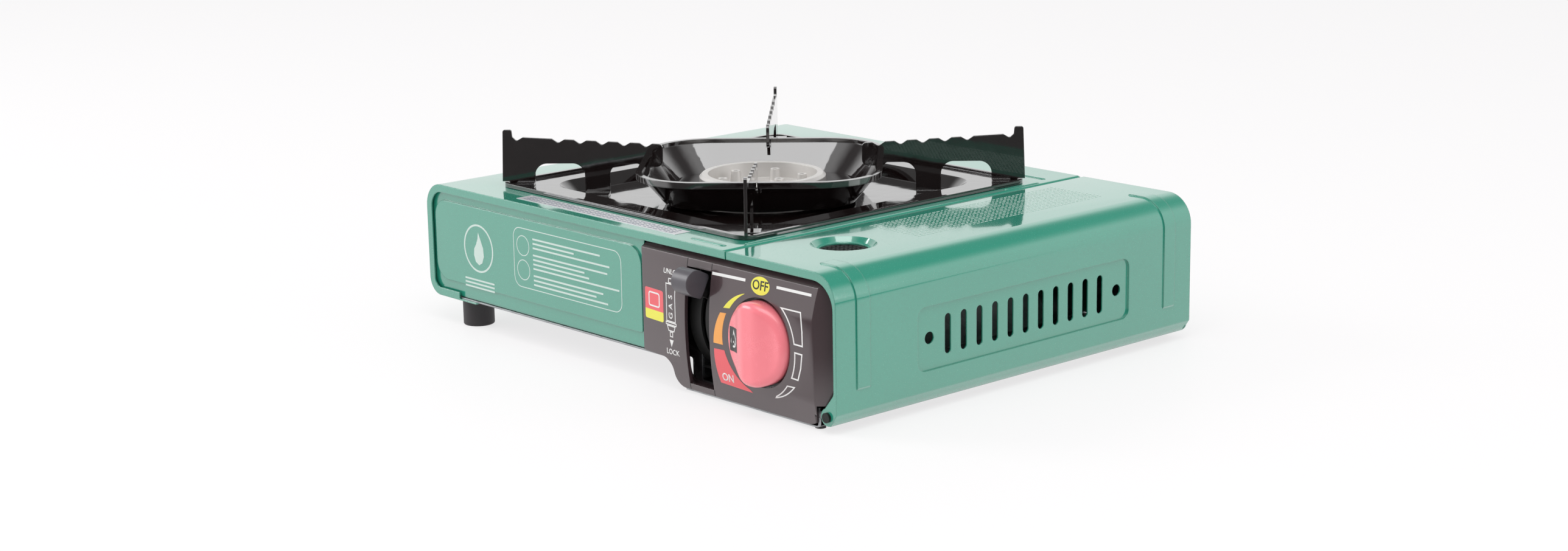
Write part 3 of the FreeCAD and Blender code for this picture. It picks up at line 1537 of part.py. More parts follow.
def lead_points():
    """Route of the igniter lead from the housing's right end to the foot of the electrode."""
    centre = igniter_middle()
    y0 = front_y + panel_depth
    out = igniter_start() + igniter_length / 2
    foot = electrode_point(electrode_bottom)
    high = knob_height + regulator_height / 2 + 10.0
    return [
        V(out, y0, centre.z),
        V(out, y0 + 9.0, centre.z + 1.0),
        V(out - 4.0, y0 + 16.0, high - 4.0),
        V(canister_x - 2.0, canister_y - 13.0, high + 7.0),
        V(seam_x - 1.0, canister_y + 10.0, high + 8.0),
        V(seam_x - 28.0, canister_y + 40.0, high + 3.0),
        V(foot.x + 13.0, foot.y - 1.5, foot.z - 6.0),
        V(foot.x + 1.5, foot.y - 0.5, foot.z - 10.0),
        foot,
    ]


def igniter_lead():
    """Insulated lead, one soft route with wide bends."""
    bar, length = bent_bar(lead_points(), lead_radius)
    print("igniter lead length", round(length, 1), "volume ratio", round(bar.Volume / length / lead_radius ** 2 / math.pi, 4))
    return bar


def drip_tray():
    """Enamelled square tray: rolled rim, flat border, sloping wall, floor with the burner hole."""
    inner_half = tray_half - tray_border
    floor_half = inner_half - tray_slope
    low = tray_top - tray_sheet
    border = plate_xy(square_corners(tray_x, tray_y, tray_half, tray_corner_radius), low, tray_top)
    rim_outer = plate_xy(square_corners(tray_x, tray_y, tray_half, tray_corner_radius), low, tray_top + tray_rim_height)
    rim_inner = plate_xy(square_corners(tray_x, tray_y, tray_half - tray_rim_width, tray_corner_radius - tray_rim_width),
                         low - 1, tray_top + tray_rim_height + 1)
    rim = rim_outer.cut(rim_inner)
    top_wire = square_wire(tray_x, tray_y, inner_half, tray_pocket_radius, tray_top)
    bottom_wire = square_wire(tray_x, tray_y, floor_half, tray_pocket_radius - 4.0, tray_floor_top)
    hollow = Part.makeLoft([top_wire, bottom_wire], True, True)
    outer_top = square_wire(tray_x, tray_y, inner_half + tray_sheet, tray_pocket_radius + tray_sheet, tray_top)
    outer_low = square_wire(tray_x, tray_y, floor_half + tray_sheet, tray_pocket_radius - 4.0 + tray_sheet,
                            tray_floor_top - tray_sheet)
    dish = Part.makeLoft([outer_top, outer_low], True, True)
    tray = border.fuse(rim).fuse(dish).cut(hollow)
    axis = V(tray_x, tray_y, tray_floor_top - tray_sheet)
    lip = rod(axis, axis + V(0, 0, tray_lip_height + tray_sheet), tray_hole_radius + tray_sheet)
    tray = tray.fuse(lip).cut(rod(axis - V(0, 0, 2), axis + V(0, 0, 9), tray_hole_radius))
    return tray.removeSplitter()


def wind_bowl():
    """Enamelled wind ring of the pan support, turned half a quarter to the tray."""
    lip_low = bowl_top - bowl_lip_height
    top_half = bowl_half_width - bowl_lip_width + bowl_wall
    top_radius = bowl_corner_radius - bowl_lip_width + bowl_wall
    outer_top = square_wire(tray_x, tray_y, top_half, top_radius, lip_low + 1.0, 45)
    outer_low = square_wire(tray_x, tray_y, bowl_foot_half_width, bowl_foot_radius, bowl_floor_height, 45)
    inner_top = square_wire(tray_x, tray_y, top_half - bowl_wall, top_radius - bowl_wall, lip_low + 1.0, 45)
    inner_low = square_wire(tray_x, tray_y, bowl_foot_half_width - bowl_wall, bowl_foot_radius - bowl_wall,
                            bowl_floor_height + bowl_wall, 45)
    wall = Part.makeLoft([outer_top, outer_low], True, True).cut(Part.makeLoft([inner_top, inner_low], True, True))
    lip = plate_xy(square_corners(tray_x, tray_y, bowl_half_width, bowl_corner_radius, 45), lip_low, bowl_top)
    lip_inner = square_corners(tray_x, tray_y, top_half - bowl_wall, top_radius - bowl_wall, 45)
    lip = lip.cut(plate_xy(lip_inner, lip_low - 1, bowl_top + 1))
    groove_outer = square_corners(tray_x, tray_y, bowl_half_width - bowl_wall, bowl_corner_radius - bowl_wall, 45)
    groove_inner = square_corners(tray_x, tray_y, top_half, top_radius, 45)
    groove = plate_xy(groove_outer, lip_low - 1, bowl_top - bowl_wall)
    groove = groove.cut(plate_xy(groove_inner, lip_low - 2, bowl_top + 2))
    lip = lip.cut(groove)
    bowl = wall.fuse(lip)
    axis = V(tray_x, tray_y, bowl_floor_height)
    bowl = bowl.cut(rod(axis - V(0, 0, 1), axis + V(0, 0, 5), bowl_hole_radius))
    legs = []
    for quarter in range(4):
        leg_x = tray_x + bowl_foot_half_width - bowl_leg_inset
        leg = block(leg_x - bowl_wall, leg_x,
                    tray_y - bowl_leg_width / 2, tray_y + bowl_leg_width / 2,
                    tray_floor_top + touch_gap, bowl_floor_height + bowl_wall / 2)
        legs.append(turned(leg, 90 * quarter, V(tray_x, tray_y, 0), V(0, 0, 1)))
    bowl = bowl.multiFuse(legs)
    slots = []
    for quarter in range(4):
        half = arm_plate / 2 + arm_slot_gap
        cutter = block(tray_x + arm_inner_reach - 2, tray_x + bowl_half_width + 2, tray_y - half, tray_y + half,
                       arm_inner_under - 1.0, bowl_top + 1)
        slots.append(turned(cutter, 45 + 90 * quarter, V(tray_x, tray_y, 0), V(0, 0, 1)))
    return bowl.cut(Part.makeCompound(slots)).removeSplitter()


def arm_outline():
    """Side outline of a support arm in reach and height, with its post, notches and legs."""
    foot_low = tray_top + touch_gap
    rim_clear = tray_top + tray_rim_height + touch_gap
    rim_reach = tray_rim_reach()
    leg_low = tray_floor_top + touch_gap
    post_inner = arm_reach - arm_post_width
    middle_inner = arm_leg_middle_outer - arm_leg_middle_width
    corners = [
        (rim_reach, foot_low, 0),
        (rim_reach, rim_clear, 0),
        (arm_reach, rim_clear, 0),
        (arm_reach - 1.0, arm_post_top, 1.2),
        (post_inner - 1.0, arm_post_top, 1.2),
        (post_inner - 1.4, seat(notch_outer), 1.0),
        (notch_outer, seat(notch_outer) - notch_depth, 1.5),
        (notch_outer - notch_half, seat(notch_outer - notch_half), 1.0),
    ]
    for index in range(notch_count - 1, -1, -1):
        centre = notch_first + index * notch_pitch
        corners.append((centre + notch_half, seat(centre + notch_half), 1.0))
        corners.append((centre, seat(centre) - notch_depth, 2.0))
        corners.append((centre - notch_half, seat(centre - notch_half), 1.0))
    corners += [
        (arm_inner_reach, seat(arm_inner_reach), 2.5),
        (arm_inner_reach, arm_inner_under, 3.5),
        (arm_inner_reach + 12.0, arm_inner_under, 2.0),
        (arm_inner_reach + 14.0, arm_under, 2.0),
        (middle_inner, arm_under, arm_window_radius),
        (middle_inner, leg_low, 0),
        (arm_leg_middle_outer, leg_low, 0),
        (arm_leg_middle_outer, arm_under + 0.4, arm_window_radius),
        (arm_reach - arm_leg_outer, arm_under + 0.4, arm_window_radius),
        (arm_reach - arm_leg_outer, foot_low, 0),
    ]
    return corners


def tray_rim_reach():
    """Reach along the tray's diagonal that stays clear inside its rolled rim."""
    half = tray_half - tray_rim_width
    corner = tray_corner_radius - tray_rim_width
    return half * math.sqrt(2) - corner * (math.sqrt(2) - 1) - 2 * touch_gap


def seat(reach):
    """Height of the sloping pan seat at a reach from the burner's centre."""
    return arm_seat_inner + arm_seat_slope * (reach - arm_inner_reach)


def support_arm(quarter, side):
    """One pan support arm standing on a tray diagonal, with bent feet on one side."""
    plate = plate_xz(arm_outline(), -arm_plate / 2, arm_plate / 2)
    foot_low = tray_top + touch_gap
    leg_low = tray_floor_top + touch_gap
    outer_end = (tray_half - tray_rim_width) * math.sqrt(2) - arm_outer_foot - 2 * touch_gap
    outer_foot = block(arm_reach - arm_leg_outer, outer_end, min(0, side * arm_outer_foot),
                       max(0, side * arm_outer_foot), foot_low, foot_low + arm_plate * 0.7)
    middle_inner = arm_leg_middle_outer - arm_leg_middle_width
    middle_foot = block(middle_inner, arm_leg_middle_outer, min(0, side * arm_foot),
                        max(0, side * arm_foot), leg_low, leg_low + arm_plate * 0.7)
    arm = fused([plate, outer_foot, middle_foot])
    arm.rotate(V(0, 0, 0), V(0, 0, 1), quarter)
    arm.translate(V(tray_x, tray_y, 0))
    return arm


# The body and its floor
save(body_shell(), "body_shell")
save(floor_pan(), "floor_pan")
save(front_plate(), "front_plate")
save(back_plate(), "back_plate")
save(partition(), "partition_wall")
save_group(feet(), "left_feet")
save_group(foot_screws(), "foot_screws")
save_group(pads(), "well_pads")
save_group(hinge_pins(), "lid_hinge_pins")

# The canister compartment and its lid
save(canister_lid(), "canister_lid")
save(lid_screen(), "lid_screen")
save(cradle_rail(-1), "cradle_rail_left")
save(cradle_rail(1), "cradle_rail_right")
save(canister_key(), "canister_key")
save(canister_slide(), "canister_slide")

# The control panel, lever and knob
save(control_panel(), "control_panel")
save(panel_mount(), "panel_mount")
save_group(panel_screws(), "panel_screws")
save(lever_guard(), "lever_guard")
save(lever(), "lever")
save(lever_grip(), "lever_grip")
save(lever_pivot(), "lever_pivot_pin")
save_group(lever_bracket(), "lever_bracket")
save(knob(), "knob")
save(knob_spindle(), "knob_spindle")
save(igniter_cam(), "igniter_cam")

# Gas and spark
save(regulator_body(), "regulator_body")
save(regulator_cap(), "regulator_cap")
save(canister_socket(), "canister_socket")
save(socket_seal(), "socket_seal")
save(gas_pipe(), "gas_pipe")
save(jet_holder(), "jet_holder")
save(gas_jet(), "gas_jet")
save(jet_bracket(), "jet_bracket")
save(igniter(), "igniter")
save(igniter_plunger(), "igniter_plunger")
save(igniter_lead(), "igniter_lead")
save(electrode(), "electrode")
save(electrode_tip(), "electrode_tip")
save(electrode_holder(), "electrode_holder")

# Burner
save(mixing_tube(), "mixing_tube")
save(air_shutter(), "air_shutter")
save(burner_cup(), "burner_cup")
save(burner_head(), "burner_head")
save(burner_bracket(), "burner_bracket")
save_group(burner_screws(), "burner_screws")

# Tray and pan support
save(drip_tray(), "drip_tray")
save(wind_bowl(), "wind_bowl")
save(support_arm(225, 1), "support_arm_left")
save(support_arm(315, 1), "support_arm_front")
save(support_arm(45, -1), "support_arm_right")
save(support_arm(135, -1), "support_arm_back")
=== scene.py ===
import bmesh
import bpy
import json
import math
from mathutils import Matrix, Vector

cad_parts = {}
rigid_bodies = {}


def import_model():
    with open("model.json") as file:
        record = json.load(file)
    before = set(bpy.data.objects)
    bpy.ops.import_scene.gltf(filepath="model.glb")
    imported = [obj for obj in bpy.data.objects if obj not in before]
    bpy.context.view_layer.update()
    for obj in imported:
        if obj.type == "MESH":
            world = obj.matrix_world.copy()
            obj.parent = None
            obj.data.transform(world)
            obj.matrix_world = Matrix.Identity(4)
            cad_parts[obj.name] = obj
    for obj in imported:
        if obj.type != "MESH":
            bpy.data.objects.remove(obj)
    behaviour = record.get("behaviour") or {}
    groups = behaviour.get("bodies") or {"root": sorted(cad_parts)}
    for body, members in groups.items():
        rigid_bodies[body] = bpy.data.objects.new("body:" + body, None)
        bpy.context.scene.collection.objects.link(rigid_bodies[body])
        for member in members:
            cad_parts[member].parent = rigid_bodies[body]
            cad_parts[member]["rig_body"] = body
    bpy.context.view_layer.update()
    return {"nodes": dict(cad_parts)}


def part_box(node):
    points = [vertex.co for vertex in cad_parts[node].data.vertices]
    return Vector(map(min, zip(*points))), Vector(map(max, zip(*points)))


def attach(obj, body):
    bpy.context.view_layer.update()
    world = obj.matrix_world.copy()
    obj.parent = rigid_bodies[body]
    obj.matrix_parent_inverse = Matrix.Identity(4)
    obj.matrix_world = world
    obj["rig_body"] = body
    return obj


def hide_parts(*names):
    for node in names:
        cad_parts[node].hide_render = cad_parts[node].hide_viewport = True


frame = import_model()
nodes = frame["nodes"]
mm = 0.001

# Camera. A long lens at the photograph's viewing angle: it stands off the front right corner and looks a
# little down on the stove.
camera_data = bpy.data.cameras.new("camera")
camera_data.sensor_fit = "HORIZONTAL"
camera_data.sensor_width = 36.0
camera_data.lens = 61.554
camera = bpy.data.objects.new("camera", camera_data)
bpy.context.scene.collection.objects.link(camera)
camera_right = Vector((0.670919, 0.741355, -0.016153))
camera_up = Vector((-0.159256, 0.165332, 0.973295))
camera_back = Vector((0.724228, -0.650429, 0.228990))
camera_place = Vector((1.096243, -0.991212, 0.379441))
camera.matrix_world = Matrix((
    (camera_right.x, camera_up.x, camera_back.x, camera_place.x),
    (camera_right.y, camera_up.y, camera_back.y, camera_place.y),
    (camera_right.z, camera_up.z, camera_back.z, camera_place.z),
    (0, 0, 0, 1),
))
bpy.context.scene.camera = camera
bpy.context.scene.view_settings.view_transform = "Standard"


# Body shell and lid. Deep-drawn steel sheet, sprayed with glossy green enamel that shows a faint orange
# peel. The plates that close the front and back are the same painted sheet. A finish is a function that
# returns the sockets of a Principled shader, and its arithmetic is written on Value objects.
class Value:
    """One socket of a finish's node tree; the operators add Math nodes."""

    def __init__(self, tree, socket):
        self.tree = tree
        self.socket = socket

    def node(self, kind, settings={}, sockets={}, output=0):
        made = self.tree.nodes.new("ShaderNode" + kind)
        for name, setting in settings.items():
            if name == "stops":
                ramp = made.color_ramp
                while len(ramp.elements) < len(setting):
                    ramp.elements.new(0.5)
                for stop, (place, colour) in zip(ramp.elements, setting):
                    stop.position = place
                    stop.color = (*colour, 1)
            else:
                setattr(made, name, setting)
        for name, value in sockets.items():
            if isinstance(value, Value):
                self.tree.links.new(value.socket, made.inputs[name])
            else:
                made.inputs[name].default_value = value
        return Value(self.tree, made.outputs[output])

    def maths(self, operation, first, second):
        return self.node("Math", {"operation": operation}, {0: first, 1: second})

    def __add__(self, other):
        return self.maths("ADD", self, other)

    def __radd__(self, other):
        return self.maths("ADD", other, self)

    def __sub__(self, other):
        return self.maths("SUBTRACT", self, other)

    def __rsub__(self, other):
        return self.maths("SUBTRACT", other, self)

    def __mul__(self, other):
        return self.maths("MULTIPLY", self, other)

    def __rmul__(self, other):
        return self.maths("MULTIPLY", other, self)

    def above(self, edge, soft):
        """0 under the edge and 1 over it, with a soft step."""
        sockets = {"Value": self, "From Min": edge - soft, "From Max": edge + soft}
        return self.node("MapRange", {"interpolation_type": "SMOOTHSTEP"}, sockets)

    def between(self, low, high):
        """Mix of two colours by this value."""
        return self.node("Mix", {"data_type": "RGBA"}, {0: self, 6: (*low, 1), 7: (*high, 1)}, 2)

    def noise(self, size, detail=2.0):
        """Noise on the object's coordinates with cells of about one size, in metres."""
        return self.node("TexNoise", {}, {"Vector": self, "Scale": 1 / size, "Detail": detail})

    def relief(self, height, depth, edge):
        """Surface direction with a relief of one depth and edges rounded to one radius, in metres."""
        rounded = self.node("Bevel", {"samples": 4}, {"Radius": edge})
        sockets = {"Strength": 1.0, "Distance": depth, "Height": height, "Normal": rounded}
        return self.node("Bump", {}, sockets)


def finish(name, recipe):
    """New material from a recipe that takes the object's coordinates and returns shader sockets."""
    material = bpy.data.materials.new(name)
    material.use_nodes = True
    tree = material.node_tree
    shader = tree.nodes["Principled BSDF"]
    coordinates = tree.nodes.new("ShaderNodeTexCoord").outputs["Object"]
    for socket, value in recipe(Value(tree, coordinates)).items():
        if isinstance(value, Value):
            tree.links.new(value.socket, shader.inputs[socket])
        else:
            shader.inputs[socket].default_value = value
    return material


def dressed(node, material, sharp=32):
    """Merged copy of a CAD node with smooth faces up to an angle; it stands for the node."""
    source = nodes[node]
    piece = source.copy()
    piece.data = source.data.copy()
    piece.name = "shown_" + node
    bpy.context.scene.collection.objects.link(piece)
    form = bmesh.new()
    form.from_mesh(piece.data)
    bmesh.ops.remove_doubles(form, verts=form.verts, dist=0.004 * mm)
    for face in form.faces:
        face.smooth = True
    for edge in form.edges:
        edge.smooth = edge.is_manifold and edge.calc_face_angle(0) < math.radians(sharp)
    form.to_mesh(piece.data)
    form.free()
    if "custom_normal" in piece.data.attributes:
        piece.data.attributes.remove(piece.data.attributes["custom_normal"])
    piece.data.materials.clear()
    piece.data.materials.append(material)
    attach(piece, source["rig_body"])
    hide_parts(node)
    return piece


def green_enamel(place):
    peel = place.noise(1.6 * mm, 1.0)
    dust = place.noise(0.5 * mm, 0.0).above(0.76, 0.02)
    cloud = place.noise(60 * mm, 2.0)
    return {
        "Base Color": cloud.between((0.022, 0.275, 0.186), (0.032, 0.312, 0.214)),
        "Roughness": 0.08 + 0.05 * cloud + 0.2 * dust,
        "Normal": place.relief(peel + 0.3 * dust, 0.012 * mm, 0.9 * mm),
        "IOR": 1.8,
        "Coat Weight": 0.7,
        "Coat Roughness": 0.04,
        "Coat IOR": 1.8,
    }


green_paint = finish("green enamel", green_enamel)
for painted in ("body_shell", "front_plate", "back_plate", "canister_lid"):
    dressed(painted, green_paint)


# Floor, partition, hidden brackets and the canister's rails. Folded from zinc-plated steel sheet, whose
# plating is spangled and has fine scratches along it. Its grey is painted darker than bright zinc, as
# painted shade for the dark inside of the stove that the vents show.
def zinc_plate_painted_shade(place):
    spangle = place.node("TexVoronoi", {}, {"Vector": place, "Scale": 1 / (5 * mm)}, 1)
    tone = place.node("SeparateColor", {}, {"Color": spangle})
    long_way = place.node("Mapping", {}, {"Vector": place, "Scale": (60, 2500, 2500)})
    scratch = long_way.noise(1.0, 3.0)
    return {
        # Painted shade: both greys sit below bright zinc so the stove's inside looks dark; the spangle's
        # steps between them are real.
        "Base Color": tone.between((0.30, 0.31, 0.32), (0.42, 0.43, 0.44)),
        "Metallic": 1.0,
        "Roughness": 0.30 + 0.12 * tone + 0.08 * scratch,
        "Normal": place.relief(scratch, 0.01 * mm, 0.3 * mm),
    }


zinc_sheet_painted_shade = finish("zinc plated sheet painted shade", zinc_plate_painted_shade)
zinc_pieces = ("floor_pan", "partition_wall", "cradle_rail_left", "cradle_rail_right", "canister_key",
               "canister_slide", "panel_mount", "lever_bracket", "jet_bracket", "air_shutter",
               "burner_bracket")
for plated in zinc_pieces:
    dressed(plated, zinc_sheet_painted_shade)


# Small steel pieces: screws, pins, pipe, lever plate and tube. Turned or drawn steel with fine lines, left
# bright. Only the lid's hinge pins are blackened.
def bright_steel(place):
    lines = place.node("Mapping", {}, {"Vector": place, "Scale": (3000, 3000, 400)}).noise(1.0, 2.0)
    soil = place.noise(9 * mm, 3.0)
    return {
        "Base Color": soil.between((0.42, 0.41, 0.40), (0.62, 0.62, 0.61)),
        "Metallic": 1.0,
        "Roughness": 0.22 + 0.16 * lines + 0.1 * soil,
        "Normal": place.relief(lines, 0.008 * mm, 0.2 * mm),
    }


steel = finish("bright steel", bright_steel)
steel_pieces = ("foot_screws", "panel_screws", "lever", "lever_pivot_pin", "regulator_cap", "gas_pipe",
                "igniter_plunger", "electrode_tip", "electrode_holder", "mixing_tube", "burner_screws")
for turned_piece in steel_pieces:
    dressed(turned_piece, steel)


def blackened_steel(place):
    soil = place.noise(3 * mm, 3.0)
    return {
        "Base Color": soil.between((0.020, 0.022, 0.021), (0.050, 0.052, 0.050)),
        "Metallic": 0.8,
        "Roughness": 0.25 + 0.2 * soil,
        "Normal": place.relief(soil, 0.01 * mm, 0.2 * mm),
    }


dressed("lid_hinge_pins", finish("blackened steel", blackened_steel))


# Feet, pads and seal. Black moulded rubber with a dull skin. Screws hold the feet, and the pads stand under
# the canister's well.
def moulded_rubber(place):
    skin = place.noise(0.35 * mm, 3.0)
    return {
        "Base Color": skin.between((0.022, 0.019, 0.021), (0.040, 0.035, 0.038)),
        "Roughness": 0.48 + 0.18 * skin,
        "Normal": place.relief(skin, 0.02 * mm, 0.6 * mm),
    }


rubber = finish("moulded rubber", moulded_rubber)
for soft_piece in ("left_feet", "well_pads", "socket_seal"):
    dressed(soft_piece, rubber)


# Control panel. Charcoal moulded plastic with a smooth gloss front and a bevelled right end. Screws hold it
# to the bracket behind it.
def panel_moulding(place):
    flow = place.noise(30 * mm, 2.0)
    skin = place.noise(0.9 * mm, 2.0)
    return {
        "Base Color": flow.between((0.056, 0.036, 0.040), (0.068, 0.045, 0.049)),
        "Roughness": 0.14 + 0.06 * flow + 0.05 * skin,
        "Normal": place.relief(skin, 0.006 * mm, 0.6 * mm),
        "Coat Weight": 0.7,
        "Coat Roughness": 0.05,
        "Coat IOR": 1.6,
    }


panel_plastic = finish("panel moulding", panel_moulding)
dressed("control_panel", panel_plastic)


# Black plastic of the slot's floor, the igniter housing, its cam and the lead, and the lever's thumb grip.
# All are moulded with a fine grain. The grip is a lighter grey, and the lid's steel screen is black as well.
def dull_plastic(place):
    grain = place.noise(0.25 * mm, 3.0)
    return {
        "Base Color": grain.between((0.006, 0.006, 0.006), (0.012, 0.012, 0.012)),
        "Roughness": 0.56 + 0.15 * grain,
        "Normal": place.relief(grain, 0.012 * mm, 0.3 * mm),
    }


def grip_moulding(place):
    grain = place.noise(0.3 * mm, 2.0)
    wear = place.noise(7 * mm, 2.0)
    return {
        "Base Color": wear.between((0.080, 0.075, 0.086), (0.105, 0.099, 0.112)),
        "Roughness": 0.26 + 0.1 * wear + 0.06 * grain,
        "Normal": place.relief(grain, 0.008 * mm, 0.9 * mm),
    }


black_plastic = finish("dull black plastic", dull_plastic)
grip_plastic = finish("grip moulding", grip_moulding)
for black_piece in ("lever_guard", "igniter", "igniter_cam"):
    dressed(black_piece, black_plastic)
dressed("igniter_lead", black_plastic)
dressed("lid_screen", black_plastic)
dressed("lever_grip", grip_plastic)


# Brass of the gas way: socket, jet, jet holder and valve spindle. Turned from bar and a little tarnished.
# The knob and the igniter's cam sit on the spindle.
def turned_brass(place):
    soil = place.noise(4 * mm, 3.0)
    return {
        "Base Color": soil.between((0.52, 0.36, 0.13), (0.72, 0.54, 0.24)),
        "Metallic": 1.0,
        "Roughness": 0.25 + 0.15 * soil,
        "Normal": place.relief(soil, 0.01 * mm, 0.2 * mm),
    }


brass = finish("turned brass", turned_brass)
for brass_piece in ("knob_spindle", "canister_socket", "jet_holder", "gas_jet"):
    dressed(brass_piece, brass)


# Castings. The burner head is pale bead-blasted aluminium and sits on the cup. The cup and the regulator's
# body are duller zinc.
def pale_casting(place):
    blast = place.noise(0.45 * mm, 4.0)
    stain = place.noise(14 * mm, 3.0)
    return {
        "Base Color": stain.between((0.62, 0.60, 0.58), (0.76, 0.74, 0.72)),
        "Metallic": 0.55,
        "Roughness": 0.34 + 0.14 * blast,
        "Normal": place.relief(blast, 0.03 * mm, 0.5 * mm),
    }


def dull_casting(place):
    blast = place.noise(0.6 * mm, 4.0)
    stain = place.noise(10 * mm, 3.0)
    return {
        "Base Color": stain.between((0.30, 0.30, 0.30), (0.46, 0.45, 0.44)),
        "Metallic": 0.85,
        "Roughness": 0.45 + 0.2 * blast,
        "Normal": place.relief(blast, 0.04 * mm, 0.4 * mm),
    }


burner_alloy = finish("pale casting", pale_casting)
zinc_casting = finish("dull casting", dull_casting)
dressed("burner_head", burner_alloy)
dressed("burner_cup", zinc_casting)
dressed("regulator_body", zinc_casting)


# Spark electrode. Glazed white ceramic with a slightly grey body, held beside the burner head, with the
# steel tip at its top.
def glazed_ceramic(place):
    speck = place.noise(0.8 * mm, 2.0)
    return {
        "Base Color": speck.between((0.74, 0.73, 0.69), (0.84, 0.83, 0.80)),
        "Roughness": 0.14 + 0.08 * speck,
        "Normal": place.relief(speck, 0.005 * mm, 0.2 * mm),
    }


dressed("electrode", finish("glazed ceramic", glazed_ceramic))


# Drip tray, wind ring and pan arms. Pressed steel under thick black glass enamel, wavy and very glossy.
# The tray lifts out of the shell, and the ring with its four arms lifts off the tray.
def glass_enamel(place):
    wave = place.noise(9 * mm, 1.0)
    pit = place.noise(0.7 * mm, 1.0).above(0.78, 0.02)
    return {
        "Base Color": wave.between((0.006, 0.003, 0.003), (0.011, 0.007, 0.007)),
        "Roughness": 0.05 + 0.05 * wave + 0.2 * pit,
        "Normal": place.relief(wave + 0.05 * pit, 0.09 * mm, 0.9 * mm),
        "IOR": 1.8,
        "Coat Weight": 0.7,
        "Coat Roughness": 0.02,
        "Coat IOR": 1.8,
    }


black_enamel = finish("black glass enamel", glass_enamel)
enamel_pieces = ("drip_tray", "wind_bowl", "support_arm_left", "support_arm_front", "support_arm_right",
                 "support_arm_back")
for enamelled in enamel_pieces:
    dressed(enamelled, black_enamel, 25)


# Knob. One red moulding: a round cap whose broad upright ridge slopes off to both sides. Its rim is rounded,
# and it turns on the valve's spindle.
def knob_moulding(place):
    flow = place.noise(12 * mm, 2.0)
    skin = place.noise(0.5 * mm, 2.0)
    return {
        "Base Color": flow.between((0.93, 0.215, 0.255), (0.97, 0.250, 0.295)),
        "Roughness": 0.20 + 0.08 * flow + 0.05 * skin,
        "Normal": place.relief(skin, 0.008 * mm, 0.3 * mm),
        "Coat Weight": 0.3,
    }


knob_low, knob_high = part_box("knob")
knob_centre = (knob_low + knob_high) / 2
knob_radius = (knob_high.x - knob_low.x) / 2
knob_ridge_half = 3.2 * mm
knob_slope = 4.7 * mm
knob_shoulder = 3.6 * mm
knob_straight_share = 0.36
knob_flank_end = 0.72
knob_rings = 36
knob_steps = 96


def knob_front(across, up):
    """Y of the knob's front at a place across and up from its axis."""
    off = abs(across)
    ramp = max(off - knob_ridge_half, 0) / (knob_radius - knob_ridge_half)
    flank = min(ramp / knob_flank_end, 1)
    eased = flank * flank * (3 - 2 * flank)
    fall = knob_slope * (knob_straight_share * ramp + (1 - knob_straight_share) * eased)
    from_edge = knob_radius - math.hypot(across, up)
    if from_edge < knob_shoulder:
        fall += knob_shoulder - math.sqrt(max(knob_shoulder ** 2 - (knob_shoulder - from_edge) ** 2, 0))
    return knob_low.y + fall


knob_form = bmesh.new()
hub = knob_form.verts.new((knob_centre.x, knob_front(0, 0), knob_centre.z))
previous = None
for ring in range(1, knob_rings + 1):
    reach = knob_radius * math.sin(math.pi / 2 * ring / knob_rings)
    row = []
    for step in range(knob_steps):
        turn = 2 * math.pi * step / knob_steps
        across, up = reach * math.cos(turn), reach * math.sin(turn)
        row.append(knob_form.verts.new((knob_centre.x + across, knob_front(across, up), knob_centre.z + up)))
    for step in range(knob_steps):
        after = (step + 1) % knob_steps
        if previous:
            knob_form.faces.new((previous[step], row[step], row[after], previous[after]))
        else:
            knob_form.faces.new((hub, row[step], row[after]))
    previous = row
skirt = [knob_form.verts.new((v.co.x, knob_high.y, v.co.z)) for v in previous]
for step in range(knob_steps):
    after = (step + 1) % knob_steps
    knob_form.faces.new((previous[step], skirt[step], skirt[after], previous[after]))
knob_form.faces.new(skirt)
bmesh.ops.recalc_face_normals(knob_form, faces=knob_form.faces)
for face in knob_form.faces:
    face.smooth = len(face.verts) < 5
knob_mesh = bpy.data.meshes.new("knob_cap")
knob_form.to_mesh(knob_mesh)
knob_form.free()
knob_cap = bpy.data.objects.new("knob_cap", knob_mesh)
bpy.context.scene.collection.objects.link(knob_cap)
knob_mesh.materials.append(finish("knob moulding", knob_moulding))
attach(knob_cap, "knob")
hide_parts("knob")


# Printing on the control panel. Screen-printed signs: the off sign, the flame scale round the knob,
# the gas cartridge with its lock arrow, and a two-coloured sticker. Each is a thin film on the bulged front.
panel_low, panel_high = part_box("control_panel")
panel_left = panel_low.x / mm
panel_right = panel_high.x / mm
panel_flat = -128.225
panel_bulge = 3.2
panel_foot, panel_head = 2.6, 73.0
panel_crown = panel_bulge + 0.1
ramp_end = 59.55
bevel_width, bevel_fall = 9.8, 9.3
bevel_start = panel_right - bevel_width


def panel_front(x, z):
    """Y of the panel's face in millimetres at a place across and up."""
    half = (panel_head - panel_foot) / 2
    round_radius = (half ** 2 + panel_bulge ** 2) / (2 * panel_bulge)
    middle = (panel_head + panel_foot) / 2
    inside = max(round_radius ** 2 - (z - middle) ** 2, 0)
    out = math.sqrt(inside) - (round_radius - panel_bulge)
    if x < ramp_end:
        out = min(out, panel_crown * (x - panel_left) / (ramp_end - panel_left))
    if x > bevel_start:
        out = min(out, panel_crown - bevel_fall * (x - bevel_start) / bevel_width)
    return panel_flat - out


def ink(name, colour):
    """Printing ink with a faint screen texture."""
    def recipe(place):
        screen = place.noise(0.3 * mm, 1.0)
        darker = tuple(0.9 * c for c in colour)
        return {"Base Color": screen.between(darker, colour), "Roughness": 0.28 + 0.1 * screen}
    return finish(name, recipe)


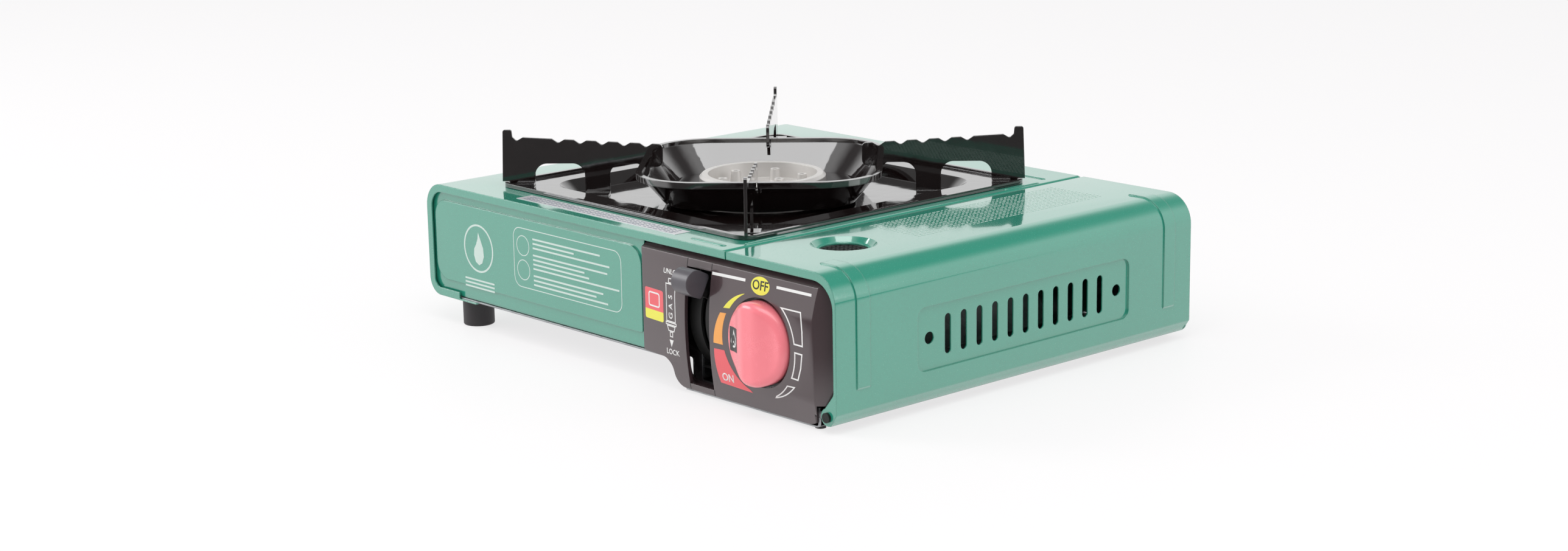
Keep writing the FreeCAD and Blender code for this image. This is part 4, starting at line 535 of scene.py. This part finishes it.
def printed(name, flat, material, body, front, film=0.07, back=0.25):
    """Film on a face: flat faces in X and Z millimetres are cut small and laid on the face's Y."""
    step = 3.0
    for axis in (0, 1):
        values = [v.co[axis] for v in flat.verts]
        cut = math.ceil(min(values) / step) * step
        while cut < max(values):
            place = Vector((cut if axis == 0 else 0, cut if axis == 1 else 0, 0))
            normal = Vector((axis == 0, axis == 1, 0))
            parts = flat.verts[:] + flat.edges[:] + flat.faces[:]
            bmesh.ops.bisect_plane(flat, geom=parts, plane_co=place, plane_no=normal)
            cut += step
    bmesh.ops.triangulate(flat, faces=flat.faces[:])
    grown = bmesh.ops.extrude_face_region(flat, geom=flat.faces[:])
    raised = [part for part in grown["geom"] if isinstance(part, bmesh.types.BMVert)]
    rear = set(flat.verts) - set(raised)
    for vert in flat.verts:
        x, z = vert.co.x, vert.co.y
        depth = back if vert in rear else -film
        vert.co = Vector((x * mm, (front(x, z) + depth) * mm, z * mm))
    bmesh.ops.recalc_face_normals(flat, faces=flat.faces)
    mesh = bpy.data.meshes.new(name)
    flat.to_mesh(mesh)
    flat.free()
    mesh.materials.append(material)
    piece = bpy.data.objects.new(name, mesh)
    bpy.context.scene.collection.objects.link(piece)
    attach(piece, body)
    return piece


def outline_faces(flat, corners, width):
    """Closed line of one width inside a run of corners."""
    inner = []
    count = len(corners)
    area = sum(corners[i - 1][0] * corners[i][1] - corners[i][0] * corners[i - 1][1] for i in range(count))
    turn = 1 if area > 0 else -1
    for i in range(count):
        before = (Vector(corners[i]) - Vector(corners[i - 1])).normalized()
        after = (Vector(corners[(i + 1) % count]) - Vector(corners[i])).normalized()
        first = Vector((-before.y, before.x)) * turn
        second = Vector((-after.y, after.x)) * turn
        middle = (first + second).normalized()
        inner.append(Vector(corners[i]) + middle * (width / max(middle.dot(first), 0.35)))
    outer_verts = [flat.verts.new((x, z, 0)) for x, z in corners]
    inner_verts = [flat.verts.new((p.x, p.y, 0)) for p in inner]
    for i in range(count):
        after = (i + 1) % count
        flat.faces.new((outer_verts[i], outer_verts[after], inner_verts[after], inner_verts[i]))


def filled_face(flat, corners):
    """Filled shape from its corners."""
    flat.faces.new([flat.verts.new((x, z, 0)) for x, z in corners])


def lettered(flat, words, x, z, height, turn=0.0):
    """Plain capitals, centred on a place."""
    curve = bpy.data.curves.new("letters", "FONT")
    curve.body = words
    curve.size = height * 1.38
    curve.align_x = "CENTER"
    curve.align_y = "CENTER"
    curve.offset = height * 0.02
    curve.resolution_u = 4
    holder = bpy.data.objects.new("letters", curve)
    bpy.context.scene.collection.objects.link(holder)
    bpy.context.view_layer.update()
    mesh = bpy.data.meshes.new_from_object(holder.evaluated_get(bpy.context.evaluated_depsgraph_get()))
    mesh.transform(Matrix.Translation((x, z, 0)) @ Matrix.Rotation(math.radians(turn), 4, "Z"))
    flat.from_mesh(mesh)
    bpy.data.objects.remove(holder)
    bpy.data.meshes.remove(mesh)


def arc_points(centre, radius, start, end, count=16):
    """Points along an arc, angles in degrees."""
    points = []
    for step in range(count + 1):
        angle = math.radians(start + (end - start) * step / count)
        points.append((centre[0] + radius * math.cos(angle), centre[1] + radius * math.sin(angle)))
    return points


def spiral_points(centre, start, end, count=14):
    """Points from one (radius, angle) to another about a centre."""
    points = []
    for step in range(count + 1):
        part = step / count
        radius = start[0] + (end[0] - start[0]) * part
        angle = math.radians(start[1] + (end[1] - start[1]) * part)
        points.append((centre[0] + radius * math.cos(angle), centre[1] + radius * math.sin(angle)))
    return points


white_ink = ink("white ink", (0.86, 0.86, 0.85))
yellow_ink = ink("yellow ink", (0.88, 0.84, 0.10))
orange_ink = ink("orange ink", (0.95, 0.42, 0.10))
red_ink = ink("red ink", (0.88, 0.14, 0.16))
dark_ink = ink("dark ink", (0.03, 0.03, 0.03))
dial = (knob_centre.x / mm, knob_centre.z / mm)

flat = bmesh.new()
off_x, off_z = 118.5, 67.6
off_half_width, off_half_height = 6.9, 4.6
turns = [math.pi * part / 24 for part in range(48)]
oval = [(off_x + off_half_width * math.cos(a), off_z + off_half_height * math.sin(a)) for a in turns]
filled_face(flat, oval)
printed("off_sign", flat, yellow_ink, "body", panel_front)
flat = bmesh.new()
lettered(flat, "OFF", off_x, off_z, 4.9)
printed("off_letters", flat, dark_ink, "body", panel_front, 0.11)

flat = bmesh.new()
outer_edge = spiral_points(dial, (26.2, 116.5), (30.6, 153.5))
filled_face(flat, outer_edge + spiral_points(dial, (26.6, 148.0), (26.1, 118.0)))
printed("low_flame_scale", flat, yellow_ink, "body", panel_front)
flat = bmesh.new()
outer_edge = spiral_points(dial, (31.6, 160.0), (35.6, 189.6))
filled_face(flat, outer_edge + spiral_points(dial, (28.4, 192.0), (27.4, 156.0)))
printed("middle_flame_scale", flat, orange_ink, "body", panel_front)
flat = bmesh.new()
outer_edge = spiral_points(dial, (36.0, 194.4), (41.5, 220.3), 10)
filled_face(flat, outer_edge + [(111.9, 10.8)] + spiral_points(dial, (27.9, 251.0), (28.2, 197.8), 16))
printed("high_flame_scale", flat, red_ink, "body", panel_front)

flat = bmesh.new()
lettered(flat, "ON", 93.6, 15.2, 4.2)
printed("on_letters", flat, white_ink, "body", panel_front, 0.11)
flat = bmesh.new()
filled_face(flat, [(81.6, 67.5), (107.1, 68.0), (107.1, 69.5), (81.6, 69.0)])
filled_face(flat, [(130.5, 68.2), (156.0, 68.4), (156.0, 69.8), (130.5, 69.6)])
line = 0.75
first_window = spiral_points(dial, (25.9, 55.0), (26.3, 8.8), 14)
outline_faces(flat, [(149.6, 59.8)] + first_window + [(151.9, 42.4), (151.4, 50.0)], line)
second_window = spiral_points(dial, (26.4, 1.0), (27.0, -31.0), 10)
outline_faces(flat, [(151.6, 38.8)] + second_window + [(147.8, 24.3), (150.4, 31.0)], line)
third_window = spiral_points(dial, (26.9, -42.5), (27.7, -67.0), 10)
outline_faces(flat, third_window + spiral_points(dial, (28.7, -70.0), (31.6, -34.5), 12), line * 0.85)
lettered(flat, "UNLOCK", 51.0, 63.6, 2.7)
lettered(flat, "LOCK", 50.3, 20.8, 3.0)
for letter, height in (("G", 40.4), ("A", 45.4), ("S", 50.4)):
    lettered(flat, letter, 49.4, height, 3.6, 90)
outline_faces(flat, [(45.3, 37.0), (53.6, 37.0), (53.6, 57.6), (45.3, 57.6)], 0.55)
outline_faces(flat, [(44.6, 35.2), (54.3, 35.2), (54.3, 36.9), (44.6, 36.9)], 0.5)
outline_faces(flat, [(47.0, 31.9), (52.0, 31.9), (53.4, 35.1), (45.5, 35.1)], 0.55)
outline_faces(flat, [(48.2, 28.9), (50.9, 28.9), (50.9, 31.8), (48.2, 31.8)], 0.5)
outline_faces(flat, [(47.6, 57.7), (51.4, 57.7), (51.4, 60.4), (47.6, 60.4)], 0.5)
filled_face(flat, [(49.5, 23.6), (51.3, 27.4), (47.7, 27.4)])
printed("white_signs", flat, white_ink, "body", panel_front)


def rounded_corners(x0, z0, x1, z1, radius, count=6):
    """Outline of a rounded rectangle."""
    points = arc_points((x1 - radius, z1 - radius), radius, 0, 90, count)
    points += arc_points((x0 + radius, z1 - radius), radius, 90, 180, count)
    points += arc_points((x0 + radius, z0 + radius), radius, 180, 270, count)
    return points + arc_points((x1 - radius, z0 + radius), radius, 270, 360, count)


flat = bmesh.new()
filled_face(flat, rounded_corners(26.0, 40.6, 42.6, 52.2, 1.2)[:14] + [(26.0, 40.6), (42.6, 40.6)])
printed("sticker_top", flat, red_ink, "body", panel_front)
flat = bmesh.new()
filled_face(flat, [(42.6, 40.6), (26.0, 40.6)] + rounded_corners(26.0, 35.4, 42.6, 52.2, 1.2)[14:])
printed("sticker_foot", flat, yellow_ink, "body", panel_front)
flat = bmesh.new()
outline_faces(flat, rounded_corners(29.2, 42.4, 39.4, 50.4, 1.6), 0.8)
printed("sticker_frame", flat, white_ink, "body", panel_front, 0.11)

# Seams of the slot's inset column: two dark hairlines above and below the slot.
slot_left, slot_right = 61.55, 80.85
seam_half = 0.2
flat = bmesh.new()
for seam in (slot_left, slot_right):
    for low, high in ((68.8, 73.0), (2.8, 6.0)):
        left, right = seam - seam_half, seam + seam_half
        filled_face(flat, [(left, low), (right, low), (right, high), (left, high)])
printed("slot_seams", flat, black_plastic, "body", panel_front, 0.03)

# Flame sign on the knob: a dark patch with a light flame outline, on the knob's left slope.
flame_place = (dial[0] - 14.2, dial[1] + 0.3)


def knob_face(x, z):
    """Y of the knob's front in millimetres."""
    return knob_front((x - dial[0]) * mm, (z - dial[1]) * mm) / mm


flat = bmesh.new()
patch_half_width, patch_half_height = 3.8, 6.3
patch = [(a * patch_half_width, b * patch_half_height) for a, b in ((-1, -1), (1, -1), (1, 1), (-1, 1))]
filled_face(flat, [(flame_place[0] + a, flame_place[1] + b) for a, b in patch])
printed("flame_patch", flat, dark_ink, "knob", knob_face)
flame = [(0.0, 5.2), (1.0, 3.0), (2.0, 0.8), (2.2, -1.6), (1.4, -3.6), (0.0, -4.4), (-1.4, -3.6),
         (-2.1, -1.7), (-1.9, 0.2), (-1.0, 1.6), (-0.3, 3.2)]
flame_spread = 1.3
flat = bmesh.new()
outline_faces(flat, [(flame_place[0] + flame_spread * a, flame_place[1] + b) for a, b in flame], 0.6)
heart = [(0.0, -0.6), (0.9, -2.2), (0.6, -3.4), (0.0, -3.7), (-0.6, -3.4), (-0.9, -2.2)]
outline_faces(flat, [(flame_place[0] + flame_spread * a, flame_place[1] + b) for a, b in heart], 0.45)
printed("flame_sign", flat, white_ink, "knob", knob_face, 0.12)


# Printing on the front plate: a thin rounded frame with plain rules in it, and a plain flame in a ring.
# Each is a thin film of pale ink on the enamel.
plate_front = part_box("front_plate")[0].y
pale_ink = ink("pale ink", (0.62, 0.74, 0.69))


def plate_face(x, z):
    """Y of the front plate's raised field in millimetres."""
    return plate_front / mm


flat = bmesh.new()
outline_faces(flat, rounded_corners(-91.4, 32.8, 4.7, 67.0, 6.0), 0.5)
rule_lengths = ((60, 37, 68), (66, 46, 50, 76), (62, 56, 66))
rule_left = -73.5
top = 62.4
for group in rule_lengths:
    for length in group:
        end = rule_left + length
        filled_face(flat, [(rule_left, top - 1.0), (end, top - 1.0), (end, top), (rule_left, top)])
        top -= 2.55
    top -= 1.5
for ring_height in (56.8, 43.0):
    outline_faces(flat, arc_points((-82.6, ring_height), 5.9, 0, 350, 35), 0.5)
printed("plate_rules", flat, pale_ink, "body", plate_face, 0.05)
sign_x, sign_half = -125.0, 14.0
flat = bmesh.new()
outline_faces(flat, arc_points((sign_x, 48.5), sign_half, 0, 355, 71), 1.1)
filled_face(flat, [(sign_x + 2.2 * a, 47.6 + 2.0 * b) for a, b in flame])
for rule in range(3):
    low, left, right = 29.2 - 2.2 * rule, sign_x - sign_half, sign_x + sign_half
    filled_face(flat, [(left, low), (right, low), (right, low + 1.0), (left, low + 1.0)])
printed("plate_sign", flat, pale_ink, "body", plate_face, 0.05)


# Rows of small printing, as on the foil label in front of the tray and on the lid, drawn as fine dashes.
# Geometry nodes set a grid of dashes of chance lengths, so one tree makes every block of printing.
def dash_tree():
    tree = bpy.data.node_groups.new("rows of dashes", "GeometryNodeTree")
    face = tree.interface
    face.new_socket("Geometry", in_out="OUTPUT", socket_type="NodeSocketGeometry")
    wanted = (("Block Length", "Float"), ("Block Width", "Float"), ("Dashes", "Int"), ("Rows", "Int"),
              ("Shortest", "Float"), ("Longest", "Float"), ("Ink Width", "Float"), ("Film", "Float"),
              ("Seed", "Int"), ("Ink", "Material"))
    for name, kind in wanted:
        face.new_socket(name, in_out="INPUT", socket_type="NodeSocket" + kind)
    sizes = tree.nodes.new("NodeGroupInput")
    grid = tree.nodes.new("GeometryNodeMeshGrid")
    dash = tree.nodes.new("GeometryNodeMeshCube")
    dash.inputs["Size"].default_value = (1, 1, 1)
    chance = tree.nodes.new("FunctionNodeRandomValue")
    scale = tree.nodes.new("ShaderNodeCombineXYZ")
    place = tree.nodes.new("GeometryNodeInstanceOnPoints")
    real = tree.nodes.new("GeometryNodeRealizeInstances")
    paint = tree.nodes.new("GeometryNodeSetMaterial")
    result = tree.nodes.new("NodeGroupOutput")
    links = (
        (sizes.outputs["Block Length"], grid.inputs["Size X"]),
        (sizes.outputs["Block Width"], grid.inputs["Size Y"]),
        (sizes.outputs["Dashes"], grid.inputs["Vertices X"]),
        (sizes.outputs["Rows"], grid.inputs["Vertices Y"]),
        (sizes.outputs["Shortest"], chance.inputs[2]),
        (sizes.outputs["Longest"], chance.inputs[3]),
        (sizes.outputs["Seed"], chance.inputs["Seed"]),
        (chance.outputs[1], scale.inputs["X"]),
        (sizes.outputs["Ink Width"], scale.inputs["Y"]),
        (sizes.outputs["Film"], scale.inputs["Z"]),
        (grid.outputs["Mesh"], place.inputs["Points"]),
        (dash.outputs["Mesh"], place.inputs["Instance"]),
        (scale.outputs["Vector"], place.inputs["Scale"]),
        (place.outputs["Instances"], real.inputs["Geometry"]),
        (real.outputs["Geometry"], paint.inputs["Geometry"]),
        (sizes.outputs["Ink"], paint.inputs["Material"]),
        (paint.outputs["Geometry"], result.inputs["Geometry"]),
    )
    for source, target in links:
        tree.links.new(source, target)
    return tree


dashes = dash_tree()


def dash_block(name, body, place, sizes):
    """Block of dashes made by the tree, as a plain mesh in its place."""
    holder = bpy.data.objects.new(name, bpy.data.meshes.new(name))
    bpy.context.scene.collection.objects.link(holder)
    modifier = holder.modifiers.new("dashes", "NODES")
    modifier.node_group = dashes
    for item in dashes.interface.items_tree:
        if item.in_out == "INPUT" and item.name in sizes:
            modifier[item.identifier] = sizes[item.name]
    bpy.context.view_layer.update()
    mesh = bpy.data.meshes.new_from_object(holder.evaluated_get(bpy.context.evaluated_depsgraph_get()))
    bpy.data.objects.remove(holder)
    mesh.transform(place)
    piece = bpy.data.objects.new(name, mesh)
    bpy.context.scene.collection.objects.link(piece)
    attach(piece, body)
    return piece


shell_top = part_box("body_shell")[1].z


# Foil label on the shell in front of the tray: a silver self-adhesive strip, printed in grey. The lid's
# printing is pale ink straight on the enamel.
def label_foil(place):
    grain = place.noise(0.8 * mm, 2.0)
    return {
        "Base Color": grain.between((0.66, 0.67, 0.69), (0.76, 0.77, 0.79)),
        "Metallic": 0.5,
        "Roughness": 0.34 + 0.1 * grain,
    }


label = bmesh.new()
label_middle = (-0.0255, -0.1163)
label_length, label_depth, label_thickness = 0.138, 0.0105, 0.0003
label_place = Matrix.Translation((*label_middle, shell_top))
label_size = Matrix.Diagonal((label_length, label_depth, label_thickness, 1))
bmesh.ops.create_cube(label, size=1.0, matrix=label_place @ label_size)
label_mesh = bpy.data.meshes.new("foil_label")
label.to_mesh(label_mesh)
label.free()
label_mesh.materials.append(finish("label foil", label_foil))
foil_label = bpy.data.objects.new("foil_label", label_mesh)
bpy.context.scene.collection.objects.link(foil_label)
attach(foil_label, "body")
grey_ink = ink("grey ink", (0.16, 0.18, 0.24))
label_sizes = {"Block Length": 0.126, "Block Width": 0.0062, "Dashes": 30, "Rows": 4, "Shortest": 0.0018,
               "Longest": 0.0038, "Ink Width": 0.0007, "Film": 0.0002, "Seed": 3, "Ink": grey_ink}
dash_block("label_dashes", "body", Matrix.Translation((*label_middle, shell_top + 0.00013)), label_sizes)
lid_turn = Matrix.Rotation(math.radians(90), 4, "Z")
lid_sizes = {"Block Length": 0.140, "Block Width": 0.036, "Dashes": 46, "Rows": 15, "Shortest": 0.0012,
             "Longest": 0.0028, "Ink Width": 0.00045, "Film": 0.00024, "Seed": 7, "Ink": pale_ink}
dash_block("lid_dashes", "lid", Matrix.Translation((0.1195, 0.0345, shell_top)) @ lid_turn, lid_sizes)


# Beads pressed in the shell's top beside the tray's two right corners, to stiffen the sheet. They are part
# of the shell and painted with it. Each is a low half-round with rounded ends.
bead_width = 3.2 * mm
bead_height = 0.7 * mm


def bead(name, start, end):
    """Low rounded ridge on the shell's top from one place to another."""
    form = bmesh.new()
    along = Vector(end) - Vector(start)
    length = along.length
    steps = 24
    rows = []
    for index in range(steps + 1):
        place = index / steps * length
        nearest = min(place, length - place)
        taper = math.sqrt(max(1 - max(1 - nearest / bead_width, 0) ** 2, 0.0004))
        row = []
        for turn in range(9):
            angle = math.pi * turn / 8
            side = math.cos(angle) * bead_width / 2 * taper
            up = math.sin(angle) * bead_height * taper
            row.append(form.verts.new((place, side, up)))
        rows.append(row)
    for first, second in zip(rows, rows[1:]):
        for turn in range(8):
            form.faces.new((first[turn], first[turn + 1], second[turn + 1], second[turn]))
        form.faces.new((first[8], first[0], second[0], second[8]))
    form.faces.new(rows[0])
    form.faces.new(rows[-1])
    bmesh.ops.recalc_face_normals(form, faces=form.faces)
    for face in form.faces:
        face.smooth = len(face.verts) == 4
    mesh = bpy.data.meshes.new(name)
    form.to_mesh(mesh)
    form.free()
    turn_to = Matrix.Rotation(math.atan2(along.y, along.x), 4, "Z")
    mesh.transform(Matrix.Translation((*start, shell_top - 0.0001)) @ turn_to)
    mesh.materials.append(green_paint)
    piece = bpy.data.objects.new(name, mesh)
    bpy.context.scene.collection.objects.link(piece)
    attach(piece, "body")


tray_low, tray_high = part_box("drip_tray")
tray_middle = (tray_low.y + tray_high.y) / 2
corner_bead_reach = 0.1202
corner_bead_left, corner_bead_right = 0.0555, 0.0835
seam_bead_x = 0.0870
seam_bead_far, seam_bead_near = 0.1110, 0.0815
for end_name, side in (("front", -1), ("back", 1)):
    corner = tray_middle + side * corner_bead_reach
    bead("corner_bead_" + end_name, (corner_bead_left, corner), (corner_bead_right, corner))
    far, near = tray_middle + side * seam_bead_far, tray_middle + side * seam_bead_near
    bead("seam_bead_" + end_name, (seam_bead_x, far), (seam_bead_x, near))


# Studio. A pale floor, a white surround that the camera and the gloss both see, darker overhead and on the
# camera's side as in a room, and large soft lamps.
world = bpy.data.worlds.new("surround")
bpy.context.scene.world = world
world.use_nodes = True
sky = world.node_tree
background = sky.nodes["Background"]
way = Value(sky, sky.nodes.new("ShaderNodeTexCoord").outputs["Generated"])
rise = way.node("SeparateXYZ", {}, {"Vector": way}, 2)
to_camera = way.node("VectorMath", {"operation": "DOT_PRODUCT"}, {0: way, 1: tuple(camera_back)}, 1)
low_wall = (1 - rise.above(0.58, 0.12)) * (1 - to_camera.above(0.45, 0.25))
backdrop = low_wall + rise.above(0.84, 0.07)
seen = way.node("LightPath", {}, {}, "Is Camera Ray") + way.node("LightPath", {}, {}, "Is Transmission Ray")
mirrored = way.node("LightPath", {}, {}, "Is Glossy Ray")
diffuse_level = 0.66
dark_room = 0.16
room = dark_room + (1 - dark_room) * backdrop
strength = seen + mirrored * room + diffuse_level * (1 - seen - mirrored)
background.inputs["Color"].default_value = (1, 1, 1, 1)
sky.links.new(strength.socket, background.inputs["Strength"])

floor_mesh = bpy.data.meshes.new("floor")
reach = 6.0
floor_corners = [(-reach, -reach, 0), (reach, -reach, 0), (reach, reach, 0), (-reach, reach, 0)]
floor_mesh.from_pydata(floor_corners, [], [(0, 1, 2, 3)])
floor = bpy.data.objects.new("floor", floor_mesh)
bpy.context.scene.collection.objects.link(floor)
floor_paint = bpy.data.materials.new("pale floor")
floor_paint.use_nodes = True
floor_tree = floor_paint.node_tree
floor_shader = floor_tree.nodes["Principled BSDF"]
floor_shader.inputs["Base Color"].default_value = (0.90, 0.89, 0.895, 1)
floor_shader.inputs["Roughness"].default_value = 0.5
floor_place = Value(floor_tree, floor_tree.nodes.new("ShaderNodeTexCoord").outputs["Object"])
floor_seen = floor_place.node("LightPath", {}, {}, "Is Camera Ray")
floor_mirrored = floor_place.node("LightPath", {}, {}, "Is Glossy Ray")
to_viewer = (0.744, -0.668, 0)
along = floor_place.node("VectorMath", {"operation": "DOT_PRODUCT"}, {0: floor_place, 1: to_viewer}, 1)
table_edge = along.above(0.30, 0.06)
glow = 1 - 0.9 * floor_mirrored * table_edge
floor_glow = floor_place.node("Emission", {}, {"Color": (1.0, 0.99, 0.995, 1), "Strength": glow})
glow_share = 0.72 * floor_seen + 0.95 * floor_mirrored
mix_sockets = {0: glow_share, 1: Value(floor_tree, floor_shader.outputs[0]), 2: floor_glow}
floor_mix = floor_place.node("MixShader", {}, mix_sockets)
floor_tree.links.new(floor_mix.socket, floor_tree.nodes["Material Output"].inputs["Surface"])
floor_mesh.materials.append(floor_paint)


def soft_lamp(name, place, size, power):
    """Square soft lamp that faces the stove."""
    lamp_data = bpy.data.lights.new(name, "AREA")
    lamp_data.shape = "SQUARE"
    lamp_data.size = size
    lamp_data.energy = power
    lamp = bpy.data.objects.new(name, lamp_data)
    bpy.context.scene.collection.objects.link(lamp)
    lamp.location = place
    aim = Vector((0, 0, 0.05)) - Vector(place)
    lamp.rotation_euler = aim.to_track_quat("-Z", "Y").to_euler()


soft_lamp("lamp over", (0.50, -0.45, 1.75), 1.3, 15)
soft_lamp("lamp left", (-1.5, -1.1, 1.0), 0.9, 14)
soft_lamp("lamp right", (1.9, 0.9, 0.8), 0.9, 6)
